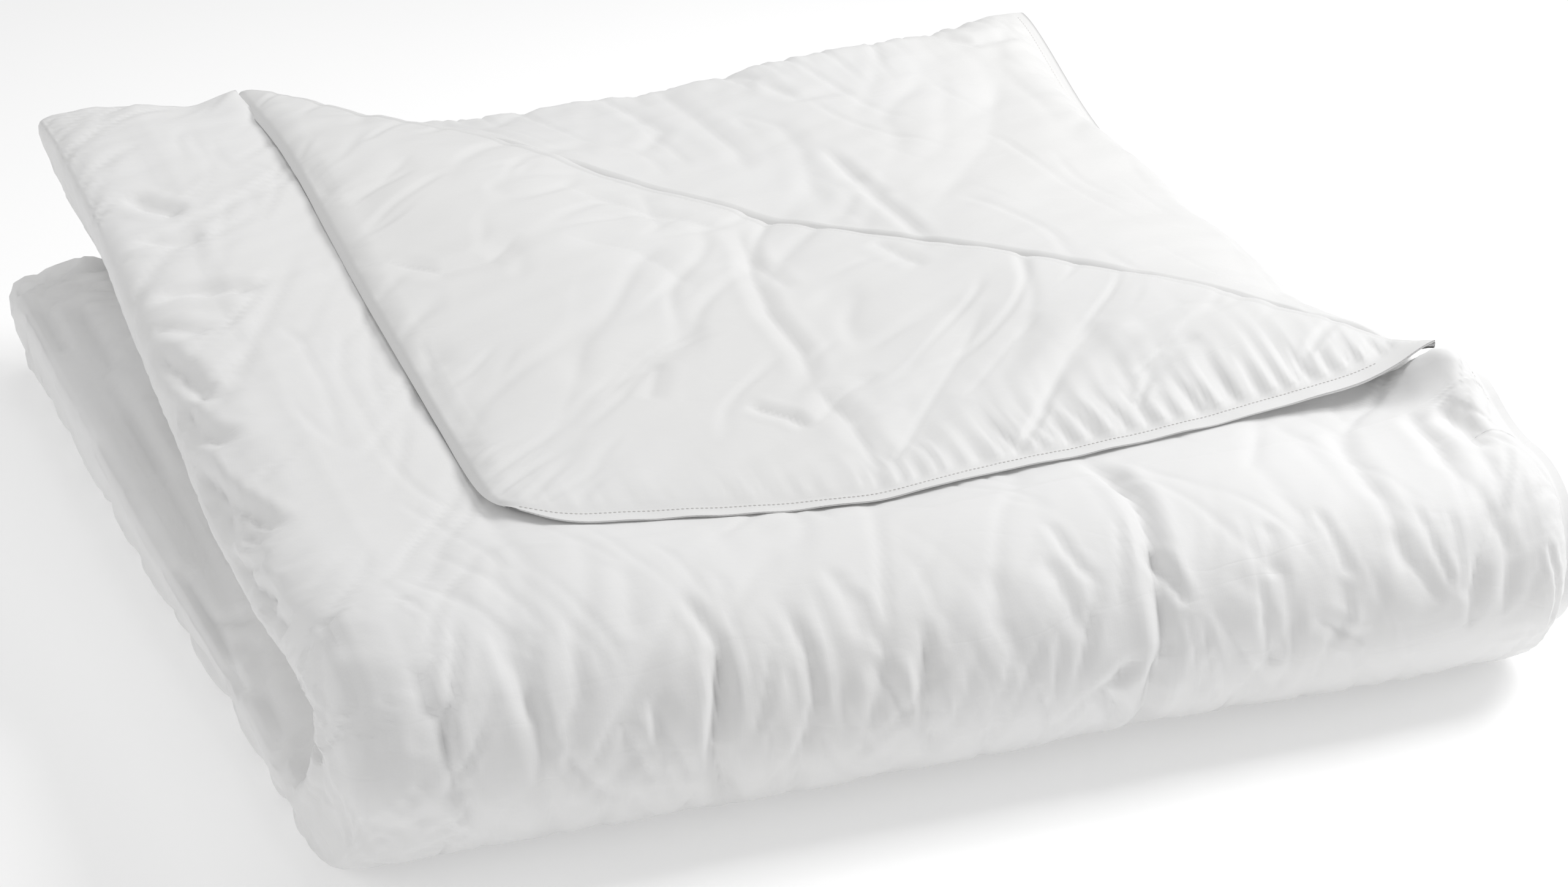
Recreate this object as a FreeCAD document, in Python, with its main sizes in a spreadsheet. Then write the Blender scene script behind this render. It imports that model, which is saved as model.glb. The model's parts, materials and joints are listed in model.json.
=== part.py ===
import FreeCAD, Part
import math
import os

from FreeCAD import Placement, Rotation, Vector

# A filled duvet, folded twice into four plies: side to side (fold on the left) and then
# front to back (fold along the front), with the top ply's back right corner turned over
# the diagonal to show the other face. Every ply is a sewn cover around its own filling.
# Millimetres. Sketches are drawn from the front left ground corner, X right, Y back, Z up,
# and each piece's Placement moves that corner so that the origin is the centre of the
# underside of the whole bundle.

os.makedirs("parts", exist_ok=True)
doc = FreeCAD.newDocument("folded_duvet")

# ---------------------------------------------------------------- driving dimensions
SIZES = [
    ("right_side", 1120, "right side of the plies"),
    ("ply_left", 62, "left side of the plies, where the side folds begin"),
    ("lower_fold_left", 0, "left side of the lower pair's fold"),
    ("upper_fold_left", 22, "left side of the upper pair's fold"),
    ("roll_centre", 50, "distance of the front fold's centre line from the front corner"),
    ("roll_radius", 106, "outer radius of the front fold"),
    ("inner_radius", 53, "outer radius of the inner front fold"),
    ("roll_left", 10, "left end of the front fold"),
    ("roll_right", 1122, "right end of the front fold"),
    ("joint_gap", 0.3, "gap between neighbouring pieces"),
    ("base_back", 1085, "back of the base ply"),
    ("third_back", 1075, "back of the third ply"),
    ("second_back", 1055, "back of the second ply"),
    ("top_back", 1045, "back of the top ply"),
    ("base_top_front", 52, "base ply, height of its top at the front"),
    ("base_top_back", 66, "base ply, height of its top at the back"),
    ("third_low_front", 53.2, "third ply, underside at the front"),
    ("third_low_back", 67.2, "third ply, underside at the back"),
    ("third_top_front", 105, "third ply, top at the front"),
    ("third_top_back", 134, "third ply, top at the back"),
    ("second_low_front", 107, "second ply, underside at the front"),
    ("second_low_back", 138, "second ply, underside at the back"),
    ("second_top_front", 158.5, "second ply, top at the front"),
    ("second_top_back", 206, "second ply, top at the back"),
    ("top_low_front", 160, "top ply, underside at the front"),
    ("top_low_back", 208, "top ply, underside at the back"),
    ("top_top_front", 212, "top ply, top at the front"),
    ("top_top_back", 274, "top ply, top at the back"),
    ("corner_drop", 4, "how far the second ply's open corner stays under the top ply's top"),
    ("corner_lift", 22, "how much more the second ply's open corner rises at the back"),
    ("wall", 1.2, "thickness of a cover's wall as modelled"),
    ("batt_inset", 12, "how far the batt stays inside the cover of a ply"),
    ("small_inset", 6, "how far the filling stays inside the smaller folds"),
    ("flap_inset", 4, "how far the filling stays inside the turned corner"),
    ("ply_round", 16, "rounding of a ply's free edges"),
    ("fold_round", 35, "rounding of a side fold's outer edges"),
    ("hem_width", 12, "width of the closing edge's flange"),
    ("hem_thick", 3, "thickness of the closing edge's flange"),
    ("thread", 0.9, "height and width of the topstitching thread"),
    ("thread_in", 2.2, "distance of the topstitching from the padded edge"),
    ("ridge_left_x", 225, "left end of the diagonal fold, from the left"),
    ("ridge_left_y", 1030, "left end of the diagonal fold, from the front"),
    ("ridge_right_x", 1100, "right end of the diagonal fold, from the left"),
    ("ridge_right_y", 165, "right end of the diagonal fold, from the front"),
    ("flap_tip_x", 207, "turned corner's tip, from the left"),
    ("flap_tip_y", 160, "turned corner's tip, from the front"),
    ("flap_thick", 18, "thickness of the turned corner"),
    ("flap_lift", 1.5, "height of the turned corner over the top ply"),
    ("flap_round", 6, "rounding of the turned corner's edges"),
    ("ridge_radius", 30, "radius of the diagonal fold's back"),
    ("drop", 10, "height at which the sketches draw the floor"),
]
sheet = doc.addObject("Spreadsheet::Sheet", "Sizes")
for row, (alias, value, note) in enumerate(SIZES, start=1):
    sheet.set("A%d" % row, note)
    sheet.set("B%d" % row, str(value))
    sheet.setAlias("B%d" % row, alias)
doc.recompute()


class Size:
    """A length as an expression on the sheet, with the number that it has now."""

    def __init__(self, text, number):
        self.text, self.number = text, float(number)

    def _with(self, sign, other, result):
        other = other if isinstance(other, Size) else Size(repr(float(other)), other)
        return Size("(%s %s %s)" % (self.text, sign, other.text), result(self.number, other.number))

    def __add__(self, other):
        return self._with("+", other, lambda a, b: a + b)

    def __sub__(self, other):
        return self._with("-", other, lambda a, b: a - b)

    def __mul__(self, other):
        return self._with("*", other, lambda a, b: a * b)

    def __truediv__(self, other):
        return self._with("/", other, lambda a, b: a / b)


def S(alias):
    return Size("Sizes.%s" % alias, sheet.get(alias))


ZERO = S("wall") * 0.0
FRONT = S("roll_centre") + S("joint_gap")
CENTRE_X = (S("lower_fold_left") + S("right_side") + S("joint_gap") + S("hem_width")) / 2.0
CENTRE_Y = (S("roll_centre") - S("roll_radius") + S("base_back")) / 2.0
DROP = S("drop")


def place(obj, x=ZERO, y=ZERO, z=ZERO):
    """Binds a piece's Placement, given from the front left ground corner, to the sheet."""
    obj.setExpression(".Placement.Base.x", (x - CENTRE_X).text)
    obj.setExpression(".Placement.Base.y", (y - CENTRE_Y).text)
    obj.setExpression(".Placement.Base.z", z.text)


def polygon(sketch, points):
    """A closed outline whose every corner is dimensioned from the sketch's origin."""
    count = len(points)
    at = [Vector(a.number, b.number, 0) for a, b in points]
    for i in range(count):
        sketch.addGeometry(Part.LineSegment(at[i], at[(i + 1) % count]), False)
    for i in range(count):
        sketch.addConstraint(Sketcher.Constraint("Coincident", i, 2, (i + 1) % count, 1))
    for i, (a, b) in enumerate(points):
        n = sketch.addConstraint(Sketcher.Constraint("DistanceX", -1, 1, i, 1, a.number))
        sketch.setExpression("Constraints[%d]" % n, a.text)
        n = sketch.addConstraint(Sketcher.Constraint("DistanceY", -1, 1, i, 1, b.number))
        sketch.setExpression("Constraints[%d]" % n, b.text)


def padded(name, plane, points, length):
    """A Body with one outline on an origin plane, padded along the plane's normal."""
    body = doc.addObject("PartDesign::Body", name)
    sketch = body.newObject("Sketcher::SketchObject", name + "_outline")
    origin = [f for f in body.Origin.OriginFeatures if f.Role == plane][0]
    sketch.AttachmentSupport = [(origin, "")]
    sketch.MapMode = "FlatFace"
    polygon(sketch, points)
    pad = body.newObject("PartDesign::Pad", name + "_pad")
    pad.Profile = sketch
    pad.setExpression("Length", length.text)
    sketch.Visibility = False
    doc.recompute()
    return body, pad


def rounded(body, base, radius, wanted, tag):
    """Rounds those edges of the body's last feature that wanted() picks by their box."""
    names = [
        "Edge%d" % (i + 1)
        for i, e in enumerate(base.Shape.Edges)
        if wanted(e.BoundBox)
    ]
    fillet = body.newObject("PartDesign::Fillet", body.Name + "_" + tag)
    fillet.Base = (base, names)
    fillet.setExpression("Radius", radius.text)
    body.Tip = fillet
    doc.recompute()
    return fillet


def near(a, b):
    return abs(a - b) < 0.01


def side_profile(y0, y1, low_front, low_back, top_front, top_back):
    return [
        (y0, low_front + DROP),
        (y1, low_back + DROP),
        (y1, top_back + DROP),
        (y0, top_front + DROP),
    ]


def ply_slab(name, inset, left, right, back, heights, front=FRONT, soften=True):
    """A ply as a wedge, higher at the back, drawn from the side and padded to the right.
    Its right and back edges are rounded; the front and left faces meet the folds."""
    low_front, low_back, top_front, top_back = heights
    y0, y1 = front + inset, back - inset
    x0, x1 = left + inset, right - inset
    body, pad = padded(
        name,
        "YZ_Plane",
        side_profile(y0, y1, low_front + inset, low_back + inset, top_front - inset, top_back - inset),
        x1 - x0,
    )
    if soften:
        wide = (x1 - x0).number
        rounded(
            body,
            pad,
            S("ply_round") - inset * 0.5,
            lambda b: not (near(b.YMin, y0.number) and near(b.YMax, y0.number))
            and not (near(b.XMin, 0) and near(b.XMax, 0))
            and (near(b.XMin, wide) or near(b.YMin, y1.number)),
            "soft_edges",
        )
    place(body, x=x0, z=ZERO - DROP)
    return body


def side_fold(name, inset, left, back, heights):
    """The rounded fold that joins two plies along their left side."""
    low_front, low_back, top_front, top_back = heights
    y0, y1 = FRONT + inset, back - inset
    x0, x1 = left + inset, S("ply_left") - S("joint_gap") - inset
    body, pad = padded(
        name,
        "YZ_Plane",
        side_profile(y0, y1, low_front + inset, low_back + inset, top_front - inset, top_back - inset),
        x1 - x0,
    )
    # the sketch's plane is the fold's left face, so both long edges at X = 0 are rounded
    rounded(
        body,
        pad,
        S("fold_round") - inset * 2.0,
        lambda b: near(b.XMin, 0) and near(b.XMax, 0) and b.YMax - b.YMin > 100,
        "bulge",
    )
    place(body, x=x0, z=ZERO - DROP)
    return body


def prism(name, corners, low, high):
    """An outline seen from above, padded straight up."""
    body, pad = padded(name, "XY_Plane", corners, high - low)
    place(body, z=low)
    return body, pad


def boolean(kind, name, base, tool):
    result = doc.addObject("Part::" + kind, name)
    result.Base, result.Tool = base, tool
    doc.recompute()
    return result


def cover_and_fill(node, make, fill_inset):
    """A cover with a wall all round a closed cavity, and the filling inside it."""
    outer = make(node + "_outside", ZERO)
    cavity = make(node + "_cavity", S("wall"))
    cover = boolean("Cut", node + "_cover", outer, cavity)
    fill = make(node + "_fill", fill_inset)
    keep(node + "_cover", cover)
    keep(node + "_fill", fill)


NODES = {}


def keep(node, obj):
    obj.Label = node
    NODES[node] = obj


import Sketcher

# ---------------------------------------------------------------- lower pair of plies
BASE = (ZERO, ZERO, S("base_top_front"), S("base_top_back"))
THIRD = (S("third_low_front"), S("third_low_back"), S("third_top_front"), S("third_top_back"))
SECOND = (S("second_low_front"), S("second_low_back"), S("second_top_front"), S("second_top_back"))
TOP = (S("top_low_front"), S("top_low_back"), S("top_top_front"), S("top_top_back"))

cover_and_fill(
    "base_ply",
    lambda n, d: ply_slab(n, d, S("ply_left"), S("right_side"), S("base_back"), BASE),
    S("batt_inset"),
)
cover_and_fill(
    "third_ply",
    lambda n, d: ply_slab(n, d, S("ply_left"), S("right_side"), S("third_back"), THIRD),
    S("batt_inset"),
)
cover_and_fill(
    "lower_side_fold",
    lambda n, d: side_fold(n, d, S("lower_fold_left"), S("third_back"), (BASE[0], BASE[1], THIRD[2], THIRD[3])),
    S("small_inset"),
)

# ---------------------------------------------------------------- front fold
def half_round(name, inset, radius, bore):
    """Half of a round bar or tube along X, on the front side of the fold's centre line."""

    def half(part_name, r, over):
        c = doc.addObject("Part::Cylinder", part_name)
        c.Placement = Placement(Vector(0, 0, 0), Rotation(Vector(0, 0, 1), Vector(1, 0, 0)))
        # the half cylinder is turned about its own axis until it lies on the -Y side
        turn = c.Placement.Rotation
        for angle in (0, 90, 180, 270):
            r_try = Rotation(Vector(1, 0, 0), angle).multiply(turn)
            if r_try.multVec(Vector(0, 1, 0)).y < -0.99:
                turn = r_try
        c.Placement = Placement(Vector(0, 0, 0), turn)
        c.setExpression("Radius", r.text)
        c.setExpression("Height", (S("roll_right") - S("roll_left") - inset * 2.0 + over * 2.0).text)
        c.Angle = 180
        place(c, x=S("roll_left") + inset - over, y=S("roll_centre") - inset, z=S("roll_radius"))
        return c

    outer = half(name + "_bar", radius - inset * 2.0, ZERO)
    if bore is None:
        doc.recompute()
        return outer
    hollow = half(name + "_bore", bore + inset * 2.0, S("wall") + 5.0)
    return boolean("Cut", name, outer, hollow)


cover_and_fill(
    "front_fold_outer",
    lambda n, d: half_round(n, d, S("roll_radius"), S("inner_radius") + 1.0),
    S("small_inset"),
)
cover_and_fill(
    "front_fold_inner",
    lambda n, d: half_round(n, d, S("inner_radius"), None),
    S("small_inset"),
)

# ---------------------------------------------------------------- upper pair of plies
def behind_ridge(name, shift):
    """Everything behind the diagonal fold line, moved back by shift along X and Y."""
    ax, ay = S("ridge_left_x") + shift, S("ridge_left_y")
    bx, by = S("ridge_right_x") + shift, S("ridge_right_y")
    slope = (by - ay) / (bx - ax)
    far_x, far_y = S("right_side") + 60.0, S("base_back") + 60.0
    # the diagonal is carried on to the far right and the far back
    left_x = ax + (far_y - ay) / slope
    right_y = by + (far_x - bx) * slope
    body, pad = prism(
        name, [(left_x, far_y), (far_x, right_y), (far_x, far_y)], ZERO, S("top_top_back") + 60.0
    )
    return body


def second_ply(name, inset):
    """The second ply is a wedge, and where the top ply is turned away its corner swells up."""
    low = ply_slab(name + "_slab", inset, S("ply_left"), S("right_side"), S("second_back"), SECOND)
    middle_front = (SECOND[0] + SECOND[2]) / 2.0
    middle_back = (SECOND[1] + SECOND[3]) / 2.0
    swell = ply_slab(
        name + "_swell",
        inset,
        S("ply_left"),
        S("right_side") - 3.0,
        S("second_back") - 3.0,
        (
            middle_front,
            middle_back,
            S("top_top_front") - S("corner_drop"),
            S("top_top_back") - S("corner_drop"),
        ),
    )
    corner = behind_ridge(name + "_corner", inset * 1.5 + 57.0)
    return boolean("Fuse", name, low, boolean("Common", name + "_raised", swell, corner))


def top_ply(name, inset):
    """The top ply ends at the diagonal fold."""
    slab = ply_slab(name + "_slab", inset, S("ply_left"), S("right_side"), S("top_back"), TOP)
    return boolean("Cut", name, slab, behind_ridge(name + "_turned_away", ZERO - inset * 1.5 - 4.0))


cover_and_fill("second_ply", second_ply, S("batt_inset"))
cover_and_fill("top_ply", top_ply, S("batt_inset"))
cover_and_fill(
    "upper_side_fold",
    lambda n, d: side_fold(n, d, S("upper_fold_left"), S("top_back"), (SECOND[0], SECOND[1], TOP[2], TOP[3])),
    S("small_inset"),
)

# ---------------------------------------------------------------- closing edge's flange
def along_right_edge(node, low_front, low_back, thick, start, wide, front, back):
    """A thin strip along the right side of a ply, rising with it."""
    body, pad = padded(
        node,
        "YZ_Plane",
        side_profile(front, back, low_front, low_back, low_front + thick, low_back + thick),
        wide,
    )
    place(body, x=start, z=ZERO - DROP)
    keep(node, body)


def hem_and_stitches(ply, heights, back, reach):
    """reach is how far back the flange shows, as a share of the ply's length."""
    start = S("right_side") + S("joint_gap")
    length = back - FRONT
    low_front = (heights[0] + heights[2] - S("hem_thick")) / 2.0
    low_back = (heights[1] + heights[3] - S("hem_thick")) / 2.0
    low_end = low_front + (low_back - low_front) * reach
    end = FRONT + length * reach
    along_right_edge(ply + "_hem", low_front, low_end, S("hem_thick"), start, S("hem_width"), FRONT, end)
    lift = S("hem_thick") + 0.5
    along_right_edge(
        ply + "_hem_stitching",
        low_front + lift,
        low_end + lift,
        S("thread"),
        start + S("thread_in"),
        S("thread"),
        FRONT + 4.0,
        end - 4.0,
    )


hem_and_stitches("base_ply", BASE, S("base_back"), 0.98)
hem_and_stitches("third_ply", THIRD, S("third_back"), 0.98)
hem_and_stitches("second_ply", SECOND, S("second_back"), 0.98)
hem_and_stitches("top_ply", TOP, S("top_back"), 0.09)

# ---------------------------------------------------------------- turned back corner
# Its pieces are drawn flat, in a frame that lies on the top ply's sloping top: the frame's
# origin is the top ply's front top edge and it is turned about X by the slope.
rise = S("top_top_back").number - S("top_top_front").number
run = (S("top_back") - FRONT).number
SLOPE = math.degrees(math.atan2(rise, run))
TILT = Rotation(Vector(1, 0, 0), SLOPE)


def on_slope(obj, z):
    """Sets a flat piece on the slope, z above it. Its outline's Y starts at the ply's front."""
    centre = Vector(CENTRE_X.number, CENTRE_Y.number, 0)
    base = Vector(0, FRONT.number, S("top_top_front").number)
    up = TILT.multVec(Vector(0, 0, z))
    obj.Placement = Placement(base + up - centre, TILT)


def from_front(y):
    return y - FRONT


def flap_corners(inset):
    """Tip, right end and left end of the turned corner, set in from its three edges."""
    return [
        (S("flap_tip_x") + inset, from_front(S("flap_tip_y")) + inset),
        (S("ridge_right_x") - inset * 2.6 - 4.0, from_front(S("ridge_right_y")) + inset),
        (S("flap_tip_x") + inset + 18.0, from_front(S("ridge_left_y")) - inset * 2.6 - 4.0),
    ]


def flap(name, inset):
    body, pad = padded(name, "XY_Plane", flap_corners(inset), S("flap_thick") - inset * 2.0)
    rounded(body, pad, S("flap_round") - inset * 0.8, lambda b: True, "soft_edges")
    on_slope(body, (S("flap_lift") + inset).number)
    return body


cover_and_fill("corner_flap", flap, S("flap_inset"))


def hem_strip(node, near_edge, far_edge, low, thick, ends):
    """A strip in front of the turned corner's front edge, from near_edge to far_edge."""
    tip_x, tip_y = S("flap_tip_x"), from_front(S("flap_tip_y"))
    end_x, end_y = S("ridge_right_x") - 4.0, from_front(S("ridge_right_y"))
    body, pad = padded(
        node,
        "XY_Plane",
        [
            (tip_x + ends, tip_y - far_edge),
            (end_x - ends, end_y - far_edge),
            (end_x - ends, end_y - near_edge),
            (tip_x + ends, tip_y - near_edge),
        ],
        thick,
    )
    on_slope(body, low.number)
    keep(node, body)


middle = S("flap_lift") + (S("flap_thick") - S("hem_thick")) / 2.0
gap = S("joint_gap")
hem_strip("corner_flap_hem", gap, gap + S("hem_width"), middle, S("hem_thick"), ZERO)
hem_strip(
    "corner_flap_hem_stitching",
    gap + S("thread_in"),
    gap + S("thread_in") + S("thread"),
    middle + S("hem_thick") + 0.1,
    S("thread"),
    ZERO + 4.0,
)


def ridge(name, inset):
    """The back of the diagonal fold: half of a round bar from the fold's left end to its right."""
    a = Vector(S("ridge_left_x").number, from_front(S("ridge_left_y")).number, 0)
    b = Vector(S("ridge_right_x").number, from_front(S("ridge_right_y")).number, 0)
    d = inset.number
    along = (b - a).normalize()
    behind = Vector(-along.y, along.x, 0)
    height = S("flap_lift").number + S("flap_thick").number - S("ridge_radius").number
    start = a + along * (30 + d) + behind * (0.5 + d) + Vector(0, 0, height)
    length = (b - a).Length - 60 - 2 * d
    # a half disc drawn across the fold, swept along it
    radius = S("ridge_radius").number - 2 * d
    up = Vector(0, 0, 1)
    arc = Part.Arc(start + up * radius, start + behind * radius, start - up * radius).toShape()
    flat = Part.LineSegment(start - up * radius, start + up * radius).toShape()
    solid = Part.Face(Part.Wire([arc, flat])).extrude(along * length)
    piece = doc.addObject("Part::Feature", name)
    piece.Shape = solid
    on_slope(piece, 0)
    return piece


cover_and_fill("corner_fold", ridge, S("small_inset"))

# ---------------------------------------------------------------- tests and export
doc.recompute()
for obj in doc.Objects:
    if "Invalid" in obj.State or "Error" in obj.State:
        raise RuntimeError("%s (%s) failed: %s" % (obj.Name, obj.Label, obj.State))
total = 0.0
low, high = [1e9] * 3, [-1e9] * 3
for node, obj in NODES.items():
    shape = obj.Shape
    if shape.isNull() or not shape.isValid() or not shape.Solids:
        raise RuntimeError("%s has no valid solid" % node)
    total += shape.Volume
    b = shape.BoundBox
    low = [min(low[0], b.XMin), min(low[1], b.YMin), min(low[2], b.ZMin)]
    high = [max(high[0], b.XMax), max(high[1], b.YMax), max(high[2], b.ZMax)]
    print("%-28s solids %d  volume %.4f l" % (node, len(shape.Solids), shape.Volume / 1e6))
for node, obj in NODES.items():
    obj.Shape.exportStep("parts/%s.step" % node)
print("nodes", len(NODES), "volume m3 %.4f" % (total / 1e9))
print("low", [round(v, 2) for v in low], "high", [round(v, 2) for v in high])


def hinge_point(x, y, z):
    """A point of the sloping frame, in the row's frame."""
    v = TILT.multVec(Vector(x, y, z)) + Vector(0, FRONT.number, S("top_top_front").number)
    return v - Vector(CENTRE_X.number, CENTRE_Y.number, 0)


ha = hinge_point(S("ridge_left_x").number, from_front(S("ridge_left_y")).number, 1.0)
hb = hinge_point(S("ridge_right_x").number, from_front(S("ridge_right_y")).number, 1.0)
axis = (ha - hb).normalize()
print("corner hinge from", [round(v, 3) for v in hb], "to", [round(v, 3) for v in ha], "axis", [round(v, 6) for v in axis])
print("front hinge at", [0, round((S("roll_centre") - CENTRE_Y).number, 3), S("roll_radius").number])
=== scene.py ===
"""A large white duvet, folded in four with one corner turned back: its looks, floor, lights and camera."""

import json
import math

import bpy
import numpy as np
from mathutils import Matrix, Vector


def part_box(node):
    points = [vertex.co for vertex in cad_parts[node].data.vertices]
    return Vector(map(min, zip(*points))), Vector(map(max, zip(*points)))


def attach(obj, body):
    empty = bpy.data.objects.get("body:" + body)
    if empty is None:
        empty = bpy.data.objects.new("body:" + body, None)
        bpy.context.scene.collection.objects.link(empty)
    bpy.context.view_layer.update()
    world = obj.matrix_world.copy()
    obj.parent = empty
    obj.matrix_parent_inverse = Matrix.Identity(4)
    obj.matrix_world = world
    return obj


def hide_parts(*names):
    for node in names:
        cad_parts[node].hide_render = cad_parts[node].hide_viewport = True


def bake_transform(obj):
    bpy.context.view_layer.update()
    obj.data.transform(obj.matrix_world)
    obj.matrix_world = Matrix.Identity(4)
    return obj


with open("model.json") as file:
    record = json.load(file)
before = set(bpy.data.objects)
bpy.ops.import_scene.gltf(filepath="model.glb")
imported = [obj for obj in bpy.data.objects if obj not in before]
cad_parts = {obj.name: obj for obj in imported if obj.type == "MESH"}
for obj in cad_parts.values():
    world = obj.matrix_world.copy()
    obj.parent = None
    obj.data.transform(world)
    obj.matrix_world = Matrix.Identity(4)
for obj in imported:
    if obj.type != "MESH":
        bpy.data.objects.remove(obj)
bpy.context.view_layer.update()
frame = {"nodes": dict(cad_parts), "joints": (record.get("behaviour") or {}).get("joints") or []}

# --- shape: every function works in metres from the front left ground corner ---
R = 0.106          # height of the front fold's centre line
YC = 0.050         # how far back that line is
AY = 0.136         # how far the front fold swells forward
XR = 1.120         # right, sewn edge of the plies
XF = 0.085         # where the side folds begin
BACK1, BACK2, BACK3, BACK4 = 1.045, 1.055, 1.075, 1.085
HEM = 0.012
A = np.array([0.222, 1.033])
B = np.array([0.208, 0.168])
C = np.array([1.100, 0.165])
AC = (C - A) / np.linalg.norm(C - A)
BEHIND = np.array([-AC[1], AC[0]])     # towards the second ply's open corner

# heights of the bundle's uppermost cloth: the side strip, the turned corner and the open corner
TOPS = np.array([
    (.02, .00, .206), (.10, .00, .207), (.3, .00, .206), (.55, .00, .204), (.8, .00, .206), (1.10, .00, .206),
    (.10, .05, .208), (.3, .05, .206), (.55, .05, .202), (.8, .05, .205), (1.10, .05, .206),
    (.10, .12, .200), (.10, .2, .198), (.10, .35, .213), (.10, .5, .233), (.10, .7, .263), (.10, .85, .284), (.10, 1.0, .292), (.10, 1.06, .292),
    (.19, 1.045, .288), (.225, .303, .222), (.225, .46, .243), (.225, .60, .262), (.225, .75, .288), (.225, .86, .301), (.225, 1.0, .300),
    (.229, .16, .210), (.33, .155, .203), (.456, .145, .195), (.54, .138, .193), (.654, .148, .199), (.742, .15, .202),
    (.849, .152, .209), (.946, .158, .213), (1.027, .16, .219), (1.065, .165, .231), (1.10, .165, .246),
    (.222, 1.033, .300), (.274, .982, .294), (.337, .919, .289), (.40, .857, .288), (.473, .784, .281), (.489, .769, .275), (.543, .716, .262),
    (.611, .648, .253), (.630, .630, .246), (.66, .60, .251), (.743, .518, .254), (.791, .471, .257), (.844, .419, .257), (.926, .337, .256),
    (.987, .276, .250), (1.039, .225, .244),
    (.37, 1.0, .258), (.524, 1.0, .254), (.60, 1.0, .256), (.671, 1.0, .260), (.78, 1.0, .276), (.893, 1.0, .288), (1.0, 1.0, .291), (1.09, 1.03, .303),
    (1.09, .949, .284), (1.09, .819, .260), (1.09, .683, .250), (1.09, .571, .234), (1.09, .483, .231), (1.09, .402, .218), (1.09, .329, .212), (1.12, .24, .215),
    (.80, .80, .268), (.95, .65, .262), (.62, .85, .258), (1.0, .45, .245),
])


def tps_fit(pts, smooth=2e-4):
    n = len(pts)
    d = np.linalg.norm(pts[:, None, :2] - pts[None, :, :2], axis=2)
    k = np.where(d > 0, d * d * np.log(np.maximum(d, 1e-9)), 0) + np.eye(n) * smooth
    p = np.c_[np.ones(n), pts[:, :2]]
    m = np.block([[k, p], [p.T, np.zeros((3, 3))]])
    return np.linalg.solve(m, np.r_[pts[:, 2], 0, 0, 0])


TOPS_W = tps_fit(TOPS)


def uppermost(x, y):
    """Height of the uppermost cloth over the plan point."""
    x, y = np.broadcast_arrays(np.asarray(x, float), np.asarray(y, float))
    z = TOPS_W[-3] + TOPS_W[-2] * x + TOPS_W[-1] * y
    for (px, py, _), w in zip(TOPS, TOPS_W):
        d2 = (x - px) ** 2 + (y - py) ** 2
        z = z + w * 0.5 * d2 * np.log(np.maximum(d2, 1e-18))
    return z


def smooth(q):
    q = np.clip(q, 0, 1)
    return q * q * (3 - 2 * q)


def curve(x, xs, ys):
    """Smooth curve through points, by cubic pieces."""
    xs, ys = np.asarray(xs, float), np.asarray(ys, float)
    m = np.gradient(ys, xs)
    x = np.clip(x, xs[0], xs[-1])
    i = np.clip(np.searchsorted(xs, x, side="right") - 1, 0, len(xs) - 2)
    h = xs[i + 1] - xs[i]
    q = (x - xs[i]) / h
    return (
        (2 * q**3 - 3 * q**2 + 1) * ys[i]
        + (q**3 - 2 * q**2 + q) * h * m[i]
        + (-2 * q**3 + 3 * q**2) * ys[i + 1]
        + (q**3 - q**2) * h * m[i + 1]
    )


HEM_X = [.205, .229, .33, .456, .54, .654, .742, .849, .946, 1.027, 1.098]
HEM_Y = [.168, .158, .150, .140, .135, .145, .148, .150, .156, .160, .165]


def hem_y(x):
    """The turned corner's sewn front edge."""
    return curve(x, HEM_X, HEM_Y)


def side_x(y):
    """The turned corner's left edge."""
    return B[0] + (A[0] - B[0]) * np.clip((y - B[1]) / (A[1] - B[1]), 0, 1)


def ridge_y(x):
    """The diagonal fold line, as the plan Y at X."""
    return A[1] + (C[1] - A[1]) * (x - A[0]) / (C[0] - A[0])


def ridge_gap(x, y):
    """Distance behind the diagonal fold line; negative on the turned corner's side."""
    return (x - A[0]) * BEHIND[0] + (y - A[1]) * BEHIND[1]


def flap_thick(x, y):
    """How far the top ply lies under the uppermost cloth where the corner is turned over it."""
    by_side, by_hem = x - side_x(y), y - hem_y(x)
    into = np.minimum(by_side, by_hem)
    edge = 0.014 * np.clip(1 + by_side / 0.11, 0, 1) * np.clip(1 + by_hem / 0.06, 0, 1)
    body = 0.016 * smooth(into / 0.16)
    at_c = 0.014 * np.exp(-(((x - C[0] + 0.06) / 0.08) ** 2 + ((y - C[1]) / 0.08) ** 2))
    return edge + body + at_c * smooth(1 + into / 0.08)


def top1(x, y):
    return uppermost(x, y) - flap_thick(x, y)


def top3(x, y):
    """Top of the lower pair of plies."""
    z = curve(y, [-.1, .05, .3, .7, 1.08], [.104, .105, .112, .124, .134])
    return z + 0.016 * smooth((x - 0.6) / 0.5) * smooth((y - 0.5) / 0.5)


def low2(x, y):
    return top3(x, y) + 0.0025


def top2(x, y):
    under = (top1(x, y) + low2(x, y)) / 2 - 0.0015
    open_corner = uppermost(x, y) - 0.005 * np.exp(-np.maximum(ridge_gap(x, y), 0) / 0.03)
    k = smooth((ridge_gap(x, y) + 0.008) / 0.028)
    return under * (1 - k) + open_corner * k


def full(d, width, power=0.72):
    """Fullness of a sewn, filled edge: 0 on the seam and 1 from width inwards."""
    return np.sin(np.pi / 2 * np.clip(d / width, 0, 1)) ** power


def upper_fold(y, n=27):
    """Profile of the upper pair's side fold: rows of (x, share of the fold's height from the top)."""
    front = [(.085, 0), (.054, .030), (.026, .14), (.011, .36), (.009, .55), (.020, .76), (.048, .94), (.085, 1)]
    back = [(.085, 0), (.056, .006), (.030, .035), (.020, .12), (.034, .45), (.056, .75), (.074, .95), (.085, 1)]
    return front, back


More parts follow.
